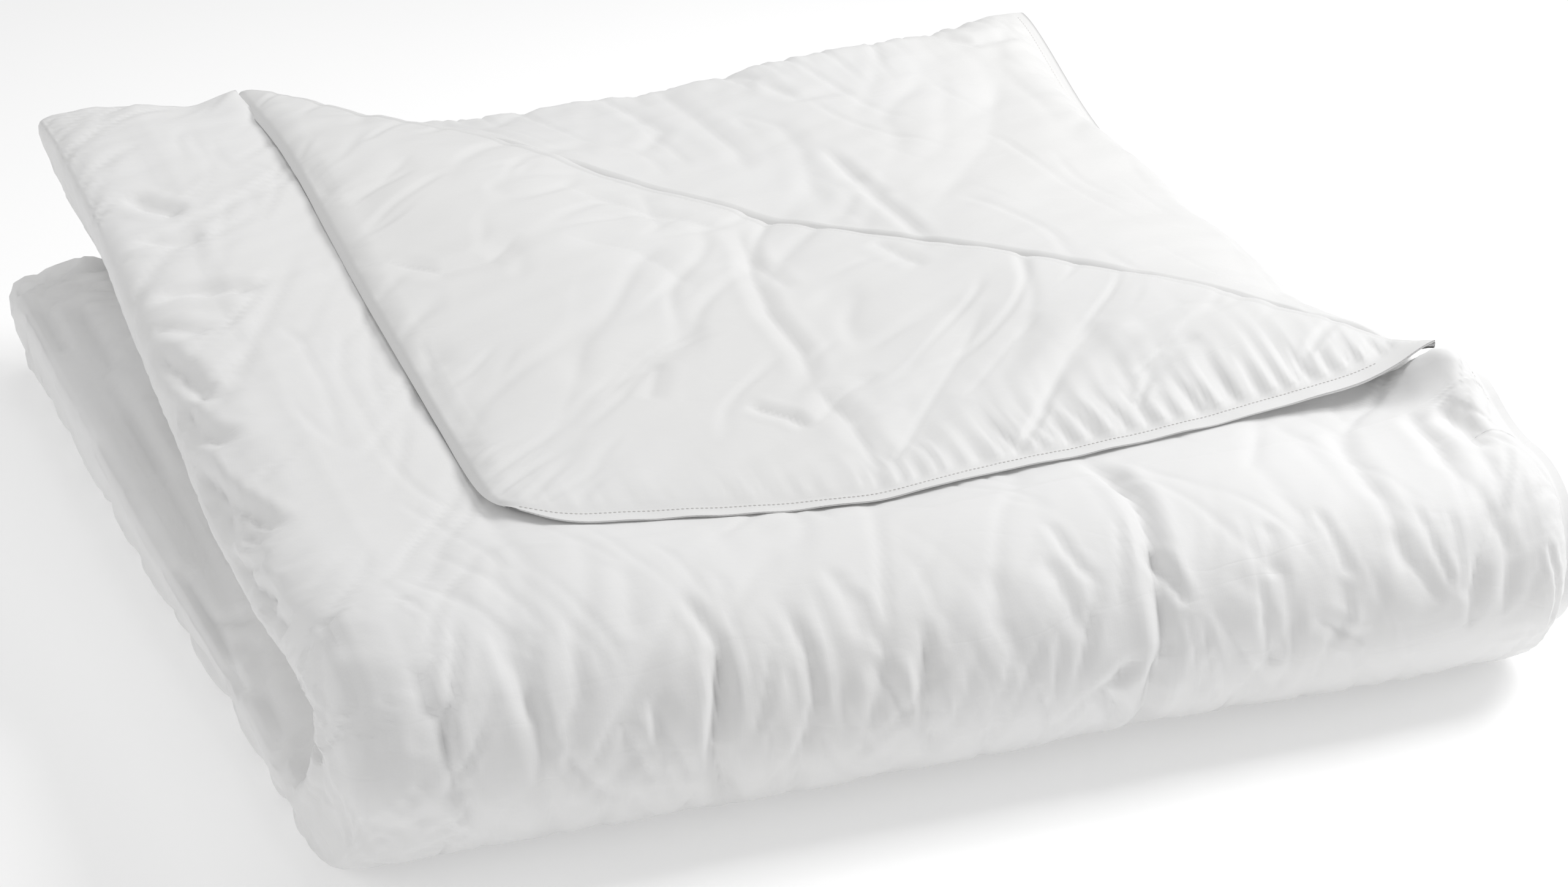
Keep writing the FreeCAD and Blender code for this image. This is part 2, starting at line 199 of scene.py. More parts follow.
def lower_fold():
    """Profile of the lower pair's side fold, from the floor up, with its pressed ridge."""
    front = [(.085, 0), (.045, 0), (.014, .04), (.004, .22), (-.006, .60), (.016, .80), (.050, .96), (.085, 1)]
    back = [(.085, 0), (.045, 0), (.010, .03), (-.004, .22), (-.018, .74), (.010, .86), (.050, .97), (.085, 1)]
    return front, back


def resample(profile, n):
    """n points along a profile of 8 points, eased through every point."""
    p = np.array(profile, float)
    q = np.linspace(0, len(p) - 1, n)
    m = np.gradient(p, axis=0)
    i = np.clip(np.floor(q).astype(int), 0, len(p) - 2)
    f = (q - i)[:, None]
    return (
        (2 * f**3 - 3 * f**2 + 1) * p[i]
        + (f**3 - 2 * f**2 + f) * m[i]
        + (-2 * f**3 + 3 * f**2) * p[i + 1]
        + (f**3 - f**2) * m[i + 1]
    )


def graded(n, first, last=None):
    """0..1 in n steps, finer at the start by first (and at the end by last)."""
    q = np.linspace(0, 1, n)
    w = 1 - first * np.exp(-q / 0.06)
    if last:
        w = w - last * np.exp(-(1 - q) / 0.06)
    w = np.r_[0, np.cumsum((w[1:] + w[:-1]) / 2)]
    return w / w[-1]


def outer_skin(n_side, n_top, n_roll, n_base, n_fold=26, n_tuck=8, n_hem=3):
    """The outer ply in one grid: rows run from the top ply's back edge forwards over the front fold and back under
    the base; columns run from the right hem over the face to the left, round the side fold and under by a little.
    Returns outer points, unit vectors into the cloth, half thickness, fullness, and the coordinates along the cloth."""
    # columns
    hem_t = -HEM * (1 - np.arange(n_hem) / n_hem)
    u = graded(n_side, 0.55)
    n_cols = n_hem + n_side + n_fold + n_tuck
    # rows: y from the back to the front on top, then the roll, then the base
    v_top = 1 - graded(n_top, 0.55)[:-1]          # 1 at the back edge
    phi = np.pi * (1 - np.linspace(0, 1, n_roll))  # pi at the top, 0 at the floor
    v_base = graded(n_base, 0.0, 0.55)[1:]
    n_rows = len(v_top) + n_roll + len(v_base)
    P = np.zeros((n_rows, n_cols, 3))
    I = np.zeros_like(P)
    H = np.zeros((n_rows, n_cols))
    F = np.ones((n_rows, n_cols))
    S = np.zeros((n_rows, n_cols))
    uf, ub = [resample(p, n_fold + 2)[1:-1] for p in upper_fold(0)]
    lf, lb = [resample(p, n_fold + 2)[1:-1] for p in lower_fold()]
    t_side = (XR - XF) * u
    tuck = XF + 0.018 * np.linspace(0, 1, n_tuck)

    def edge_cols(row, hem_x, x_face, x_fold, x_tuck):
        P[row, :n_hem, 0] = hem_x
        P[row, n_hem:n_hem + n_side, 0] = x_face
        P[row, n_hem + n_side:n_hem + n_side + n_fold, 0] = x_fold
        P[row, n_hem + n_side + n_fold:, 0] = x_tuck

    a, b, c = n_hem, n_hem + n_side, n_hem + n_side + n_fold
    # ---- top
    for r, v in enumerate(v_top):
        x = np.r_[XR - hem_t, XR - t_side]
        back = np.where(x < A[0], BACK1, np.clip(ridge_y(x) - 0.006, 0.11, BACK1))
        y = YC + (back - YC) * v
        z = top1(x, y)
        yb = YC + (BACK1 - YC) * v
        # the right hem climbs to the diagonal fold where the corner turns over, and so does the back edge at its other end
        z = z + 0.046 * smooth((x - 1.035) / 0.08) * np.exp(-(((y - 0.165) / 0.055) ** 2))
        z = z + 0.012 * np.exp(-(((x - 0.215) / 0.030) ** 2)) * smooth((y - 0.93) / 0.10)
        P[r, :b] = np.c_[x, y, z]
        I[r, :b] = (0, 0, -1)
        zf, zl = top1(XF, yb), low2(XF, yb)
        k = smooth((yb - 0.25) / 0.65)
        prof = uf * (1 - k) + ub * k
        T = zf - zl
        P[r, b:c] = np.c_[prof[:, 0], np.full(n_fold, yb), zf - T * prof[:, 1]]
        mid = np.array([XF, yb, zf - T / 2])
        I[r, b:c] = mid - P[r, b:c]
        P[r, c:] = np.c_[tuck, np.full(n_tuck, yb), low2(tuck, yb)]
        I[r, c:] = (0, 0, 1)
        H[r, :b] = (z - low2(x, y)) / 4
        H[r, b:] = T / 4
        d_back = np.r_[back - y, np.full(n_fold + n_tuck, BACK1 - yb)]
        F[r] *= full(d_back, np.r_[np.where(x < A[0], 0.024, 0.045), np.full(n_fold + n_tuck, 0.022)])
        S[r] = np.r_[y, np.full(n_fold + n_tuck, yb)] * -1 + YC
    # ---- front fold
    r0 = len(v_top)
    for i, ph in enumerate(phi):
        r = r0 + i
        k = smooth((ph / np.pi - 0.25) / 0.55)     # 1 at the top
        bulge = -0.019 * np.sin(ph) ** 2
        x = np.r_[XR + bulge - hem_t, XR + bulge - (XR + bulge - XF) * u]
        ztop = top1(x, YC)
        y = YC - AY * np.sin(ph) * np.ones_like(x)
        P[r, :b] = np.c_[x, y, ztop * (1 - np.cos(ph)) / 2]
        inward = np.array([0, np.sin(ph), np.cos(ph)])
        I[r, :b] = inward
        T = top1(XF, YC) / 2 - 0.0012
        prof = (uf * (1 - 0) ) * k + lf * (1 - k) if ph > 0 else lf
        base = np.array([0, YC - AY * np.sin(ph), top1(XF, YC) * (1 - np.cos(ph)) / 2])
        axis = np.array([0, YC, top1(XF, YC) / 2])
        P[r, b:c] = base + (axis - base) * (prof[:, 1:2] * 0.985)
        P[r, b:c, 0] = prof[:, 0]
        mid = base + (axis - base) * 0.5
        I[r, b:c] = np.array([XF, mid[1], mid[2]]) - P[r, b:c]
        P[r, c:] = base + (axis - base) * 0.985
        P[r, c:, 0] = tuck
        I[r, c:] = (base - axis) / np.linalg.norm(base - axis)
        H[r] = T / 4
        S[r] = R * (np.pi - ph)
    # ---- base
    r1 = r0 + n_roll
    for i, v in enumerate(v_base):
        r = r1 + i
        y = YC + (BACK4 - YC) * v
        x = np.r_[XR - hem_t, XR - t_side]
        P[r, :b] = np.c_[x, np.full(len(x), y), np.zeros(len(x))]
        I[r, :b] = (0, 0, 1)
        T = top3(XF, y)
        k = smooth((y - 0.1) / 0.7)
        prof = lf * (1 - k) + lb * k
        P[r, b:c] = np.c_[prof[:, 0], np.full(n_fold, y), T * prof[:, 1]]
        I[r, b:c] = np.array([XF, y, T / 2]) - P[r, b:c]
        P[r, c:] = np.c_[tuck, np.full(n_tuck, y), top3(tuck, y)]
        I[r, c:] = (0, 0, -1)
        H[r, :b] = top3(x, y) / 4
        H[r, b:] = T / 4
        F[r] *= full(BACK4 - y, 0.075)
        S[r] = R * np.pi + (y - YC)
    # unit inward vectors
    I /= np.maximum(np.linalg.norm(I, axis=2, keepdims=True), 1e-9)
    # right seam and its flange
    tt = np.r_[hem_t, t_side, np.full(n_fold + n_tuck, 9.0)]
    F *= np.where(tt <= 0, 0.03, full(tt, 0.04))[None, :]
    T_coord = np.zeros((n_rows, n_cols))
    T_coord[:, 1:] = np.cumsum(np.linalg.norm(np.diff(P, axis=1), axis=2), axis=1)
    T_coord -= T_coord[:, a:a + 1]
    return P, I, H, F, S, T_coord, (r0, r1, a, b, c)


def open_share(x, y):
    """How far down its thickness the second ply's seam sits: near the top at the open corner."""
    return 0.5 - 0.40 * np.exp(-(((x - XR) ** 2 + (y - BACK2) ** 2) / 0.16**2))


def pad(x_in, back, top_of, low_of, n_x, n_y, n_hem=3, out=0.0, width=0.06, share=None):
    """A ply between two heights, sewn along its right and back edges: (upper sheet, lower sheet, S, T)."""
    hem_t = -HEM * (1 - np.arange(n_hem) / n_hem)
    t = np.r_[hem_t, (XR + out - x_in) * graded(n_x, 0.55)]
    v = 1 - graded(n_y, 0.55)
    y = (YC + (back - YC) * v)[:, None] * np.ones(len(t))
    x = (XR + out - t)[None, :] * np.ones((n_y, 1))
    top, low = top_of(x, y), low_of(x, y)
    h = top - low
    sh = share(x, y) if share else 0.5
    f = np.where(t <= 0, 0.03, full(t, width))[None, :] * full(back - y, width)
    up = np.stack([x, y, top - h * sh * (1 - f)], -1)
    down = np.stack([x, y, low + h * (1 - sh) * (1 - f)], -1)
    return up, down, YC - y, t[None, :] * np.ones((n_y, 1)), f


def inner_roll(n_x, n_phi, n_hem=3):
    """The inner front fold, joining the second and third plies: outer sheet and the crease inside it."""
    hem_t = -HEM * (1 - np.arange(n_hem) / n_hem)
    phi = np.pi * (1 - np.linspace(0, 1, n_phi))
    up, down = [], []
    for ph in phi:
        k = smooth(ph / np.pi)
        x_right = XR + 0.006 * (1 - k) + 0.010 * np.sin(ph)
        t = np.r_[hem_t, (x_right - 0.10) * graded(n_x, 0.55)]
        x = x_right - t
        f = np.where(t <= 0, 0.03, full(t, 0.07))
        za = np.full_like(x, top3(XF, YC) + 0.0012)
        hi, lo = top2(x, YC), top3(x, YC) / 2 - 0.0
        out_z = np.where(np.cos(ph) < 0, za + (hi - za) * -np.cos(ph), za - (za - lo) * np.cos(ph))
        out_y = YC - 0.058 * np.sin(ph)
        outer = np.stack([x, np.full_like(x, out_y), out_z], -1)
        axis = np.stack([x, np.full_like(x, YC), za], -1)
        mid = (outer + axis) / 2
        up.append(mid + (outer - mid) * f[:, None])
        down.append(mid + (axis + (outer - axis) * 0.03 - mid) * f[:, None])
    return np.array(up), np.array(down)


def flap(n):
    """The turned corner on a triangular grid: upper and lower sheets, plan distances to its edges."""
    i, j = np.meshgrid(np.arange(n + 1), np.arange(n + 1), indexing="ij")
    a, b = graded(n + 1, 0.0)[i], graded(n + 1, 0.0)[j]
    x = B[0] + a * (C[0] - B[0]) + b * (A[0] - B[0])
    y = B[1] + a * (C[1] - B[1]) + b * (A[1] - B[1])
    # the sewn front edge isn't straight
    straight = B[1] + (C[1] - B[1]) * a
    w = np.clip(1 - b / 0.30, 0, 1) ** 2
    y = y + (hem_y(x) - straight) * w
    th = flap_thick(x, y)
    top = uppermost(x, y)
    low = top - th + 0.0005
    d_side = (x - side_x(y)) * 0.999
    d_hem = y - hem_y(x)
    d_hem = np.where(j == 0, 0, np.maximum(d_hem, 0))
    d_side = np.where(i == 0, 0, np.maximum(d_side, 0))
    # its front left corner is blunt and stands a little off the ply below
    blunt = np.exp(-np.maximum((x - B[0]) + (y - B[1]), 0) / 0.022)
    flange = np.where(d_hem < HEM, 0.10, 0.10 + 0.90 * full(d_hem - HEM, 0.040, 0.65))
    f = full(d_side, 0.030, 0.5) * flange
    # the left edge's seam rolls under, the front edge's flange lies halfway
    k = smooth((d_side - 0.006) / 0.03)
    resting = 0.96 - 0.88 * smooth((x - 0.78) / 0.30)
    share = 0.94 * (1 - k) + resting * k
    share = np.where(d_hem < 0.05, np.maximum(share, resting * (1 - d_hem / 0.05) + share * d_hem / 0.05), share)
    share = share - 0.50 * np.exp(-((x - B[0]) ** 2 + (y - B[1]) ** 2) / 0.05**2)
    h = top - low
    x, y = x + 0.011 * blunt, y + 0.017 * blunt
    up = np.stack([x, y, top - h * share * (1 - f)], -1)
    down = np.stack([x, y, low + h * (1 - share) * (1 - f)], -1)
    return up, down, (i + j <= n), i, j, d_side, d_hem


def ridge_roll(line, n=14):
    """The diagonal fold's back: from the turned corner's upper sheet round and down to the top ply's underside."""
    out = []
    for q in np.linspace(0, 1, n):
        ang = np.pi * q
        s = np.linalg.norm(line - line[0], axis=1)
        ends = smooth(s / 0.16) * smooth((s[-1] - s) / 0.14)
        drop = 0.008 + 0.058 * ends
        off = np.sin(ang) ** 0.8 * (0.003 + 0.023 * ends)
        p = line.copy()
        p[:, 0] += BEHIND[0] * off
        p[:, 1] += BEHIND[1] * off
        p[:, 2] -= drop * (1 - np.cos(ang)) / 2
        out.append(p)
    return np.array(out)


# crease lines, each as (points, width, depth), in metres along the cloth or in plan
FRONT_CREASES = [
    ([(0.796, 0.085), (0.797, 0.122), (0.802, 0.164), (0.786, 0.254)], 0.01, 0.014),
    ([(0.737, 0.055), (0.722, 0.100), (0.719, 0.137), (0.731, 0.185), (0.727, 0.262)], 0.008, 0.006),
    ([(0.815, 0.040), (0.796, 0.088), (0.797, 0.127)], 0.008, 0.005),
    ([(0.752, 0.090), (0.768, 0.160)], 0.006, 0.003),
    ([(0.621, 0.085), (0.621, 0.148), (0.611, 0.217)], 0.01, 0.009),
    ([(0.395, -0.101), (0.396, 0.0), (0.406, 0.048), (0.411, 0.1), (0.406, 0.143), (0.416, 0.185), (0.425, 0.254)], 0.012, 0.013),
    ([(0.416, 0.063), (0.401, 0.085), (0.386, 0.116)], 0.008, 0.007),
    ([(0.431, 0.148), (0.461, 0.174), (0.435, 0.227)], 0.009, 0.008),
    ([(0.411, 0.153), (0.411, 0.19), (0.415, 0.254)], 0.01, 0.009),
    ([(0.968, 0.030), (0.947, 0.132), (0.925, 0.265)], 0.011, 0.005),
    ([(1.032, 0.085), (1.012, 0.148), (0.997, 0.201)], 0.009, 0.005),
    ([(1.022, 0.095), (1.017, 0.122)], 0.006, 0.003),
    ([(1.036, 0.063), (1.037, 0.132)], 0.01, 0.003),
    ([(0.927, 0.143), (0.882, 0.206)], 0.01, 0.004),
    ([(0.877, 0.132), (0.852, 0.19)], 0.009, 0.004),
    ([(0.857, 0.111), (0.817, 0.196)], 0.012, 0.004),
    ([(0.671, 0.106), (0.631, 0.174)], 0.01, 0.004),
    ([(0.556, 0.053), (0.551, 0.1), (0.526, 0.159)], 0.016, 0.004),
    ([(0.506, 0.053), (0.481, 0.127)], 0.012, 0.004),
    ([(0.316, 0.127), (0.301, 0.185)], 0.009, 0.005),
    ([(0.366, 0.116), (0.29, 0.227)], 0.016, 0.004),
    ([(0.266, 0.143), (0.211, 0.174)], 0.01, 0.004),
    ([(0.182, 0.074), (0.172, 0.106), (0.142, 0.148)], 0.016, 0.005),
    ([(0.062, -0.045), (0.051, -0.004), (0.051, 0.021)], 0.016, 0.01),
    ([(0.09, -0.053), (0.091, -0.004), (0.105, 0.037)], 0.012, 0.007),
    ([(0.163, -0.065), (0.181, 0.021), (0.186, 0.053)], 0.013, 0.005),
    ([(0.296, 0.058), (0.306, 0.106)], 0.012, 0.004),
    ([(0.077, 0.069), (0.104, 0.116), (0.114, 0.153)], 0.014, 0.005),
    ([(0.690, 0.030), (0.672, 0.1)], 0.009, 0.003),
    ([(0.851, 0.0), (0.866, 0.074)], 0.014, 0.003),
    ([(0.946, -0.015), (0.961, 0.069)], 0.014, 0.003),
]
LEFT_CREASES = [
    ([(1.329, -0.762), (1.298, -0.733), (1.259, -0.71)], 0.01, 0.006),
    ([(1.29, -0.674), (1.253, -0.659), (1.222, -0.659)], 0.012, 0.004),
    ([(1.248, -0.57), (1.211, -0.57), (1.143, -0.555)], 0.012, 0.006),
    ([(1.237, -0.503), (1.197, -0.452), (1.154, -0.385)], 0.011, 0.007),
    ([(1.195, -0.415), (1.166, -0.355), (1.131, -0.318)], 0.01, 0.006),
    ([(1.176, -0.326), (1.141, -0.252), (1.093, -0.17)], 0.01, 0.01),
    ([(1.17, -0.289), (1.138, -0.215), (1.107, -0.163)], 0.009, 0.008),
    ([(1.156, -0.222), (1.143, -0.163), (1.117, -0.081)], 0.01, 0.008),
    ([(1.136, -0.111), (1.121, -0.044)], 0.01, 0.006),
    ([(1.143, -0.185), (1.117, -0.141)], 0.008, 0.005),
    ([(1.244, -0.533), (1.177, -0.496)], 0.01, 0.003),
    ([(1.153, 0.095), (1.158, 0.116), (1.137, 0.143)], 0.01, 0.008),
    ([(1.148, 0.0), (1.151, 0.048), (1.138, 0.079)], 0.01, 0.007),
]
LOWER_CREASES = [
    ([(1.249, 1.115), (1.241, 0.927), (1.228, 0.747), (1.205, 0.531)], 0.012, 0.006),
    ([(1.262, 1.239), (1.26, 1.106), (1.258, 1.052)], 0.01, 0.005),
    ([(1.198, 0.693), (1.191, 0.585), (1.177, 0.459)], 0.01, 0.006),
    ([(1.245, 0.99), (1.235, 0.837)], 0.01, 0.004),
    ([(1.232, 1.264), (1.231, 1.195), (1.229, 1.133)], 0.009, 0.006),
    ([(1.205, 1.264), (1.165, 1.247)], 0.009, 0.006),
    ([(1.199, 0.585), (1.225, 0.54)], 0.008, 0.005),
]
FLAP_CREASES = [
    ([(0.603, 0.62), (0.589, 0.557), (0.574, 0.508), (0.56, 0.437), (0.563, 0.369), (0.551, 0.311)], 0.012, 0.007),
    ([(0.551, 0.311), (0.56, 0.251), (0.551, 0.164)], 0.016, 0.007),
    ([(0.589, 0.557), (0.594, 0.47)], 0.012, 0.004),
    ([(0.246, 0.596), (0.289, 0.568), (0.34, 0.576), (0.383, 0.617)], 0.014, 0.005),
    ([(0.243, 0.702), (0.286, 0.738), (0.331, 0.789)], 0.016, 0.004),
    ([(0.226, 0.803), (0.231, 0.724)], 0.016, 0.003),
    ([(0.354, 0.322), (0.414, 0.385), (0.491, 0.434)], 0.024, 0.006),
    ([(0.431, 0.38), (0.397, 0.317)], 0.012, 0.004),
    ([(0.48, 0.298), (0.511, 0.273), (0.523, 0.249)], 0.01, 0.006),
    ([(0.523, 0.249), (0.56, 0.287), (0.617, 0.314)], 0.014, 0.005),
    ([(0.563, 0.172), (0.617, 0.235), (0.697, 0.317), (0.754, 0.382)], 0.022, 0.007),
    ([(0.669, 0.251), (0.746, 0.314), (0.791, 0.344)], 0.022, 0.005),
    ([(0.731, 0.221), (0.789, 0.279), (0.834, 0.309)], 0.016, 0.004),
    ([(0.843, 0.287), (0.911, 0.298), (0.96, 0.292)], 0.016, 0.004),
    ([(0.826, 0.227), (0.863, 0.246), (0.906, 0.251)], 0.012, 0.004),
    ([(0.24, 0.47), (0.223, 0.388), (0.223, 0.284)], 0.02, 0.004),
    ([(0.249, 0.227), (0.309, 0.298), (0.386, 0.437)], 0.026, 0.003),
    ([(0.731, 0.464), (0.709, 0.538)], 0.012, 0.004),
    ([(0.46, 0.724), (0.52, 0.661), (0.597, 0.609)], 0.014, 0.005),
    ([(0.537, 0.708), (0.523, 0.615)], 0.014, 0.003),
    ([(0.514, 0.492), (0.486, 0.574), (0.42, 0.609)], 0.018, 0.003),
]
OPEN_CREASES = [
    ([(0.757, 0.77), (0.76, 0.656), (0.76, 0.516)], 0.01, 0.008),
    ([(0.703, 0.604), (0.746, 0.656), (0.786, 0.637)], 0.012, 0.004),
    ([(1.046, 0.932), (0.929, 0.732), (0.78, 0.568)], 0.04, 0.01),
    ([(0.606, 1.008), (0.617, 0.956), (0.629, 0.885), (0.58, 0.817)], 0.012, 0.006),
    ([(0.671, 1.011), (0.677, 0.8), (0.663, 0.732)], 0.014, 0.005),
    ([(0.769, 0.964), (0.791, 0.902), (0.851, 0.904)], 0.012, 0.005),
    ([(0.991, 1.014), (1.034, 0.978), (1.097, 0.989)], 0.01, 0.008),
    ([(0.743, 1.016), (0.774, 0.967)], 0.01, 0.004),
    ([(1.097, 0.779), (1.063, 0.669), (1.046, 0.598)], 0.02, 0.004),
    ([(1.083, 0.601), (1.083, 0.538)], 0.014, 0.004),
    ([(0.409, 1.005), (0.466, 0.855), (0.509, 0.77)], 0.012, 0.005),
    ([(0.743, 0.863), (0.737, 0.773), (0.7, 0.65)], 0.014, 0.004),
]

SHIFT = np.array([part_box("base_ply_cover")[1][0] - XR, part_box("base_ply_cover")[1][1] - BACK4, 0.0])
HINGE = {j["name"]: j for j in frame["joints"]}


# ---------------------------------------------------------------- noise and creases
def noise(u, v, seed):
    """Seeded gradient noise, about -1 to 1, one cell per unit."""
    g = np.random.default_rng(seed).uniform(0, 2 * np.pi, (128, 128))
    gx, gy = np.cos(g), np.sin(g)
    u, v = np.broadcast_arrays(np.asarray(u, float), np.asarray(v, float))
    iu, iv = np.floor(u).astype(int), np.floor(v).astype(int)
    fu, fv = u - iu, v - iv

    def corner(i, j):
        a, b = (iu + i) % 128, (iv + j) % 128
        return gx[a, b] * (fu - i) + gy[a, b] * (fv - j)

    su, sv = fu**3 * (fu * (fu * 6 - 15) + 10), fv**3 * (fv * (fv * 6 - 15) + 10)
    low = corner(0, 0) * (1 - su) + corner(1, 0) * su
    high = corner(0, 1) * (1 - su) + corner(1, 1) * su
    return (low * (1 - sv) + high * sv) * 1.5


def turned(u, v, degrees):
    c, s = math.cos(math.radians(degrees)), math.sin(math.radians(degrees))
    return u * c + v * s, -u * s + v * c


def veins(u, v, seed, length, width, degrees, sharp=0.16):
    """Long crease lines: 1 on a line and 0 off it, wandering mostly along one direction."""
    p, q = turned(u, v, degrees)
    p = p + 0.030 * noise(p / 0.19, q / 0.13, seed + 1)
    q = q + 0.020 * noise(p / 0.16, q / 0.21, seed + 2)
    n = noise(p / length, q / width, seed)
    gate = smooth((noise(p / (length * 1.3), q / (width * 1.7), seed + 3) + 0.05) / 0.35)
    return np.exp(-((n / sharp) ** 2)) * gate


def rumple(u, v, seed, big=0.0032, fine=0.0011):
    """A filled cover's soft unevenness: broad swells, then softer ripples."""
    z = big * noise(u / 0.21, v / 0.17, seed)
    z = z + big * 0.55 * noise(u / 0.095, v / 0.110, seed + 7)
    p, q = turned(u, v, 24)
    z = z + fine * noise(p / 0.075, q / 0.030, seed + 11)
    return z


def stroke(u, v, points, width, depth, lips=0.26, taper=0.25):
    """One crease along a line of points: a valley with a lip each side, fading at its ends."""
    pts = np.array(points, float)
    seg = np.diff(pts, axis=0)
    lens = np.linalg.norm(seg, axis=1)
    total = lens.sum()
    best = np.full(u.shape, 1e9)
    along = np.zeros(u.shape)
    run = 0.0
    for p, d, n in zip(pts[:-1], seg, lens):
        k = np.clip(((u - p[0]) * d[0] + (v - p[1]) * d[1]) / max(n * n, 1e-12), 0, 1)
        e = np.hypot(u - p[0] - d[0] * k, v - p[1] - d[1] * k)
        near = e < best
        best = np.where(near, e, best)
        along = np.where(near, run + k * n, along)
        run += n
    q = along / total
    fade = smooth(q / taper + 0.15) * smooth((1 - q) / taper + 0.15)
    r = best / width
    # sharper at the bottom than a bell
    return -depth * fade * (np.exp(-(r**1.15)) - lips * np.exp(-(((r - 1.7) / 0.9) ** 2)))


def strokes(u, v, table):
    total = np.zeros(u.shape)
    for points, width, depth in table:
        pts = np.array(points, float)
        m = width * 5
        box = (u > pts[:, 0].min() - m) & (u < pts[:, 0].max() + m) & (v > pts[:, 1].min() - m) & (v < pts[:, 1].max() + m)
        if box.any():
            total[box] += stroke(u[box], v[box], points, width * 0.85, depth)
    return total


def puckers(along, d, seed, pitch=0.020, reach=0.045, height=0.0022):
    """Gathers at right angles to a seam, from the seam inwards."""
    d = np.maximum(d, 0)
    swell = 1 - np.exp(-d / 0.006)
    n = noise(along / pitch + 0.5 * noise(along / 0.09, d / 0.09, seed + 4), d / (reach * 1.4), seed)
    n2 = noise(along / (pitch * 2.3), d / (reach * 2), seed + 5)
    gate = 0.45 + 0.55 * smooth((noise(along / 0.14, 0.3, seed + 6) + 0.4) / 0.7)
    return height * gate * swell * np.exp(-((d / reach) ** 1.3)) * (n + 0.7 * n2)


def settle(start, base, slack_u, slack_v, free, steps=140, hold=0.012, bend=0.10, inside=None):
    """Cloth with a little more length than the filling under it has room for, worked into folds.
    start and base are grids; slack_u is the spare length along the columns' direction and slack_v along the rows'.
    Each step moves neighbours apart or together to their cloth lengths, resists sharp bends, and draws the cloth
    softly back to the filling."""
    p = start.copy()
    use = np.ones(p.shape[:2], bool) if inside is None else inside
    free = (np.asarray(free, float) * use)[..., None]
    pairs = []

    def add(a, b, factor, k):
        rest = np.linalg.norm(base[b] - base[a], axis=-1)
        rest = rest * (1 + factor[a] * 0.5 + factor[b] * 0.5)
        pairs.append((a, b, rest, k * (use[a] & use[b]) * 0.5))

    s = slice
    mix = (slack_u + slack_v) / 2
    add((s(None), s(None, -1)), (s(None), s(1, None)), slack_u, 1.0)
    add((s(None, -1), s(None)), (s(1, None), s(None)), slack_v, 1.0)
    add((s(None, -1), s(None, -1)), (s(1, None), s(1, None)), mix, 0.45)
    add((s(None, -1), s(1, None)), (s(1, None), s(None, -1)), mix, 0.45)
    add((s(None), s(None, -2)), (s(None), s(2, None)), slack_u, bend)
    add((s(None, -2), s(None)), (s(2, None), s(None)), slack_v, bend)
    for _ in range(steps):
        c = np.zeros_like(p)
        for a, b, rest, k in pairs:
            d = p[b] - p[a]
            length = np.sqrt((d * d).sum(-1))
            v = d * (k * (1 - rest / np.maximum(length, 1e-6)))[..., None]
            c[a] += v
            c[b] -= v
        p += free * (0.30 * c + hold * (base - p))
    return p


# ---------------------------------------------------------------- mesh helpers
def grid_normals(P, I=None):
    du = np.gradient(P, axis=0)
    dv = np.gradient(P, axis=1)
    n = np.cross(dv, du)
    n /= np.maximum(np.linalg.norm(n, axis=-1, keepdims=True), 1e-12)
    if I is not None:
        n *= np.where((n * I).sum(-1, keepdims=True) > 0, -1, 1)
    return n


def make(name, verts, quads, uv=None, normals=None, tris=None):
    me = bpy.data.meshes.new(name)
    quads = np.asarray(quads, np.int64).reshape(-1, 4)
    tris = np.zeros((0, 3), np.int64) if tris is None else np.asarray(tris, np.int64).reshape(-1, 3)
    me.vertices.add(len(verts))
    me.vertices.foreach_set("co", (np.asarray(verts) + SHIFT).astype(np.float32).ravel())
    loops = np.concatenate([quads.ravel(), tris.ravel()]).astype(np.int32)
    sizes = np.concatenate([np.full(len(quads), 4), np.full(len(tris), 3)])
    me.loops.add(len(loops))
    me.polygons.add(len(sizes))
    me.loops.foreach_set("vertex_index", loops)
    me.polygons.foreach_set("loop_start", (np.cumsum(sizes) - sizes).astype(np.int32))
    me.polygons.foreach_set("use_smooth", np.ones(len(sizes), bool))
    if uv is not None:
        layer = me.uv_layers.new(name="metres")
        layer.data.foreach_set("uv", np.asarray(uv, np.float32)[loops].ravel())
    me.update(calc_edges=True)
    me.validate(clean_customdata=False)
    if normals is not None:
        me.normals_split_custom_set_from_vertices(np.asarray(normals, float).tolist())
    obj = bpy.data.objects.new(name, me)
    bpy.context.scene.collection.objects.link(obj)
    return obj


def grid_quads(rows, cols, start=0, flip=False):
    i = np.arange(rows * cols).reshape(rows, cols) + start
    q = np.stack([i[:-1, :-1], i[1:, :-1], i[1:, 1:], i[:-1, 1:]], -1).reshape(-1, 4)
    return q[:, ::-1] if flip else q


def rim(rows, cols):
    i = np.arange(rows * cols).reshape(rows, cols)
    return np.concatenate([i[0, :-1], i[:-1, -1], i[-1, :0:-1], i[:0:-1, 0]])


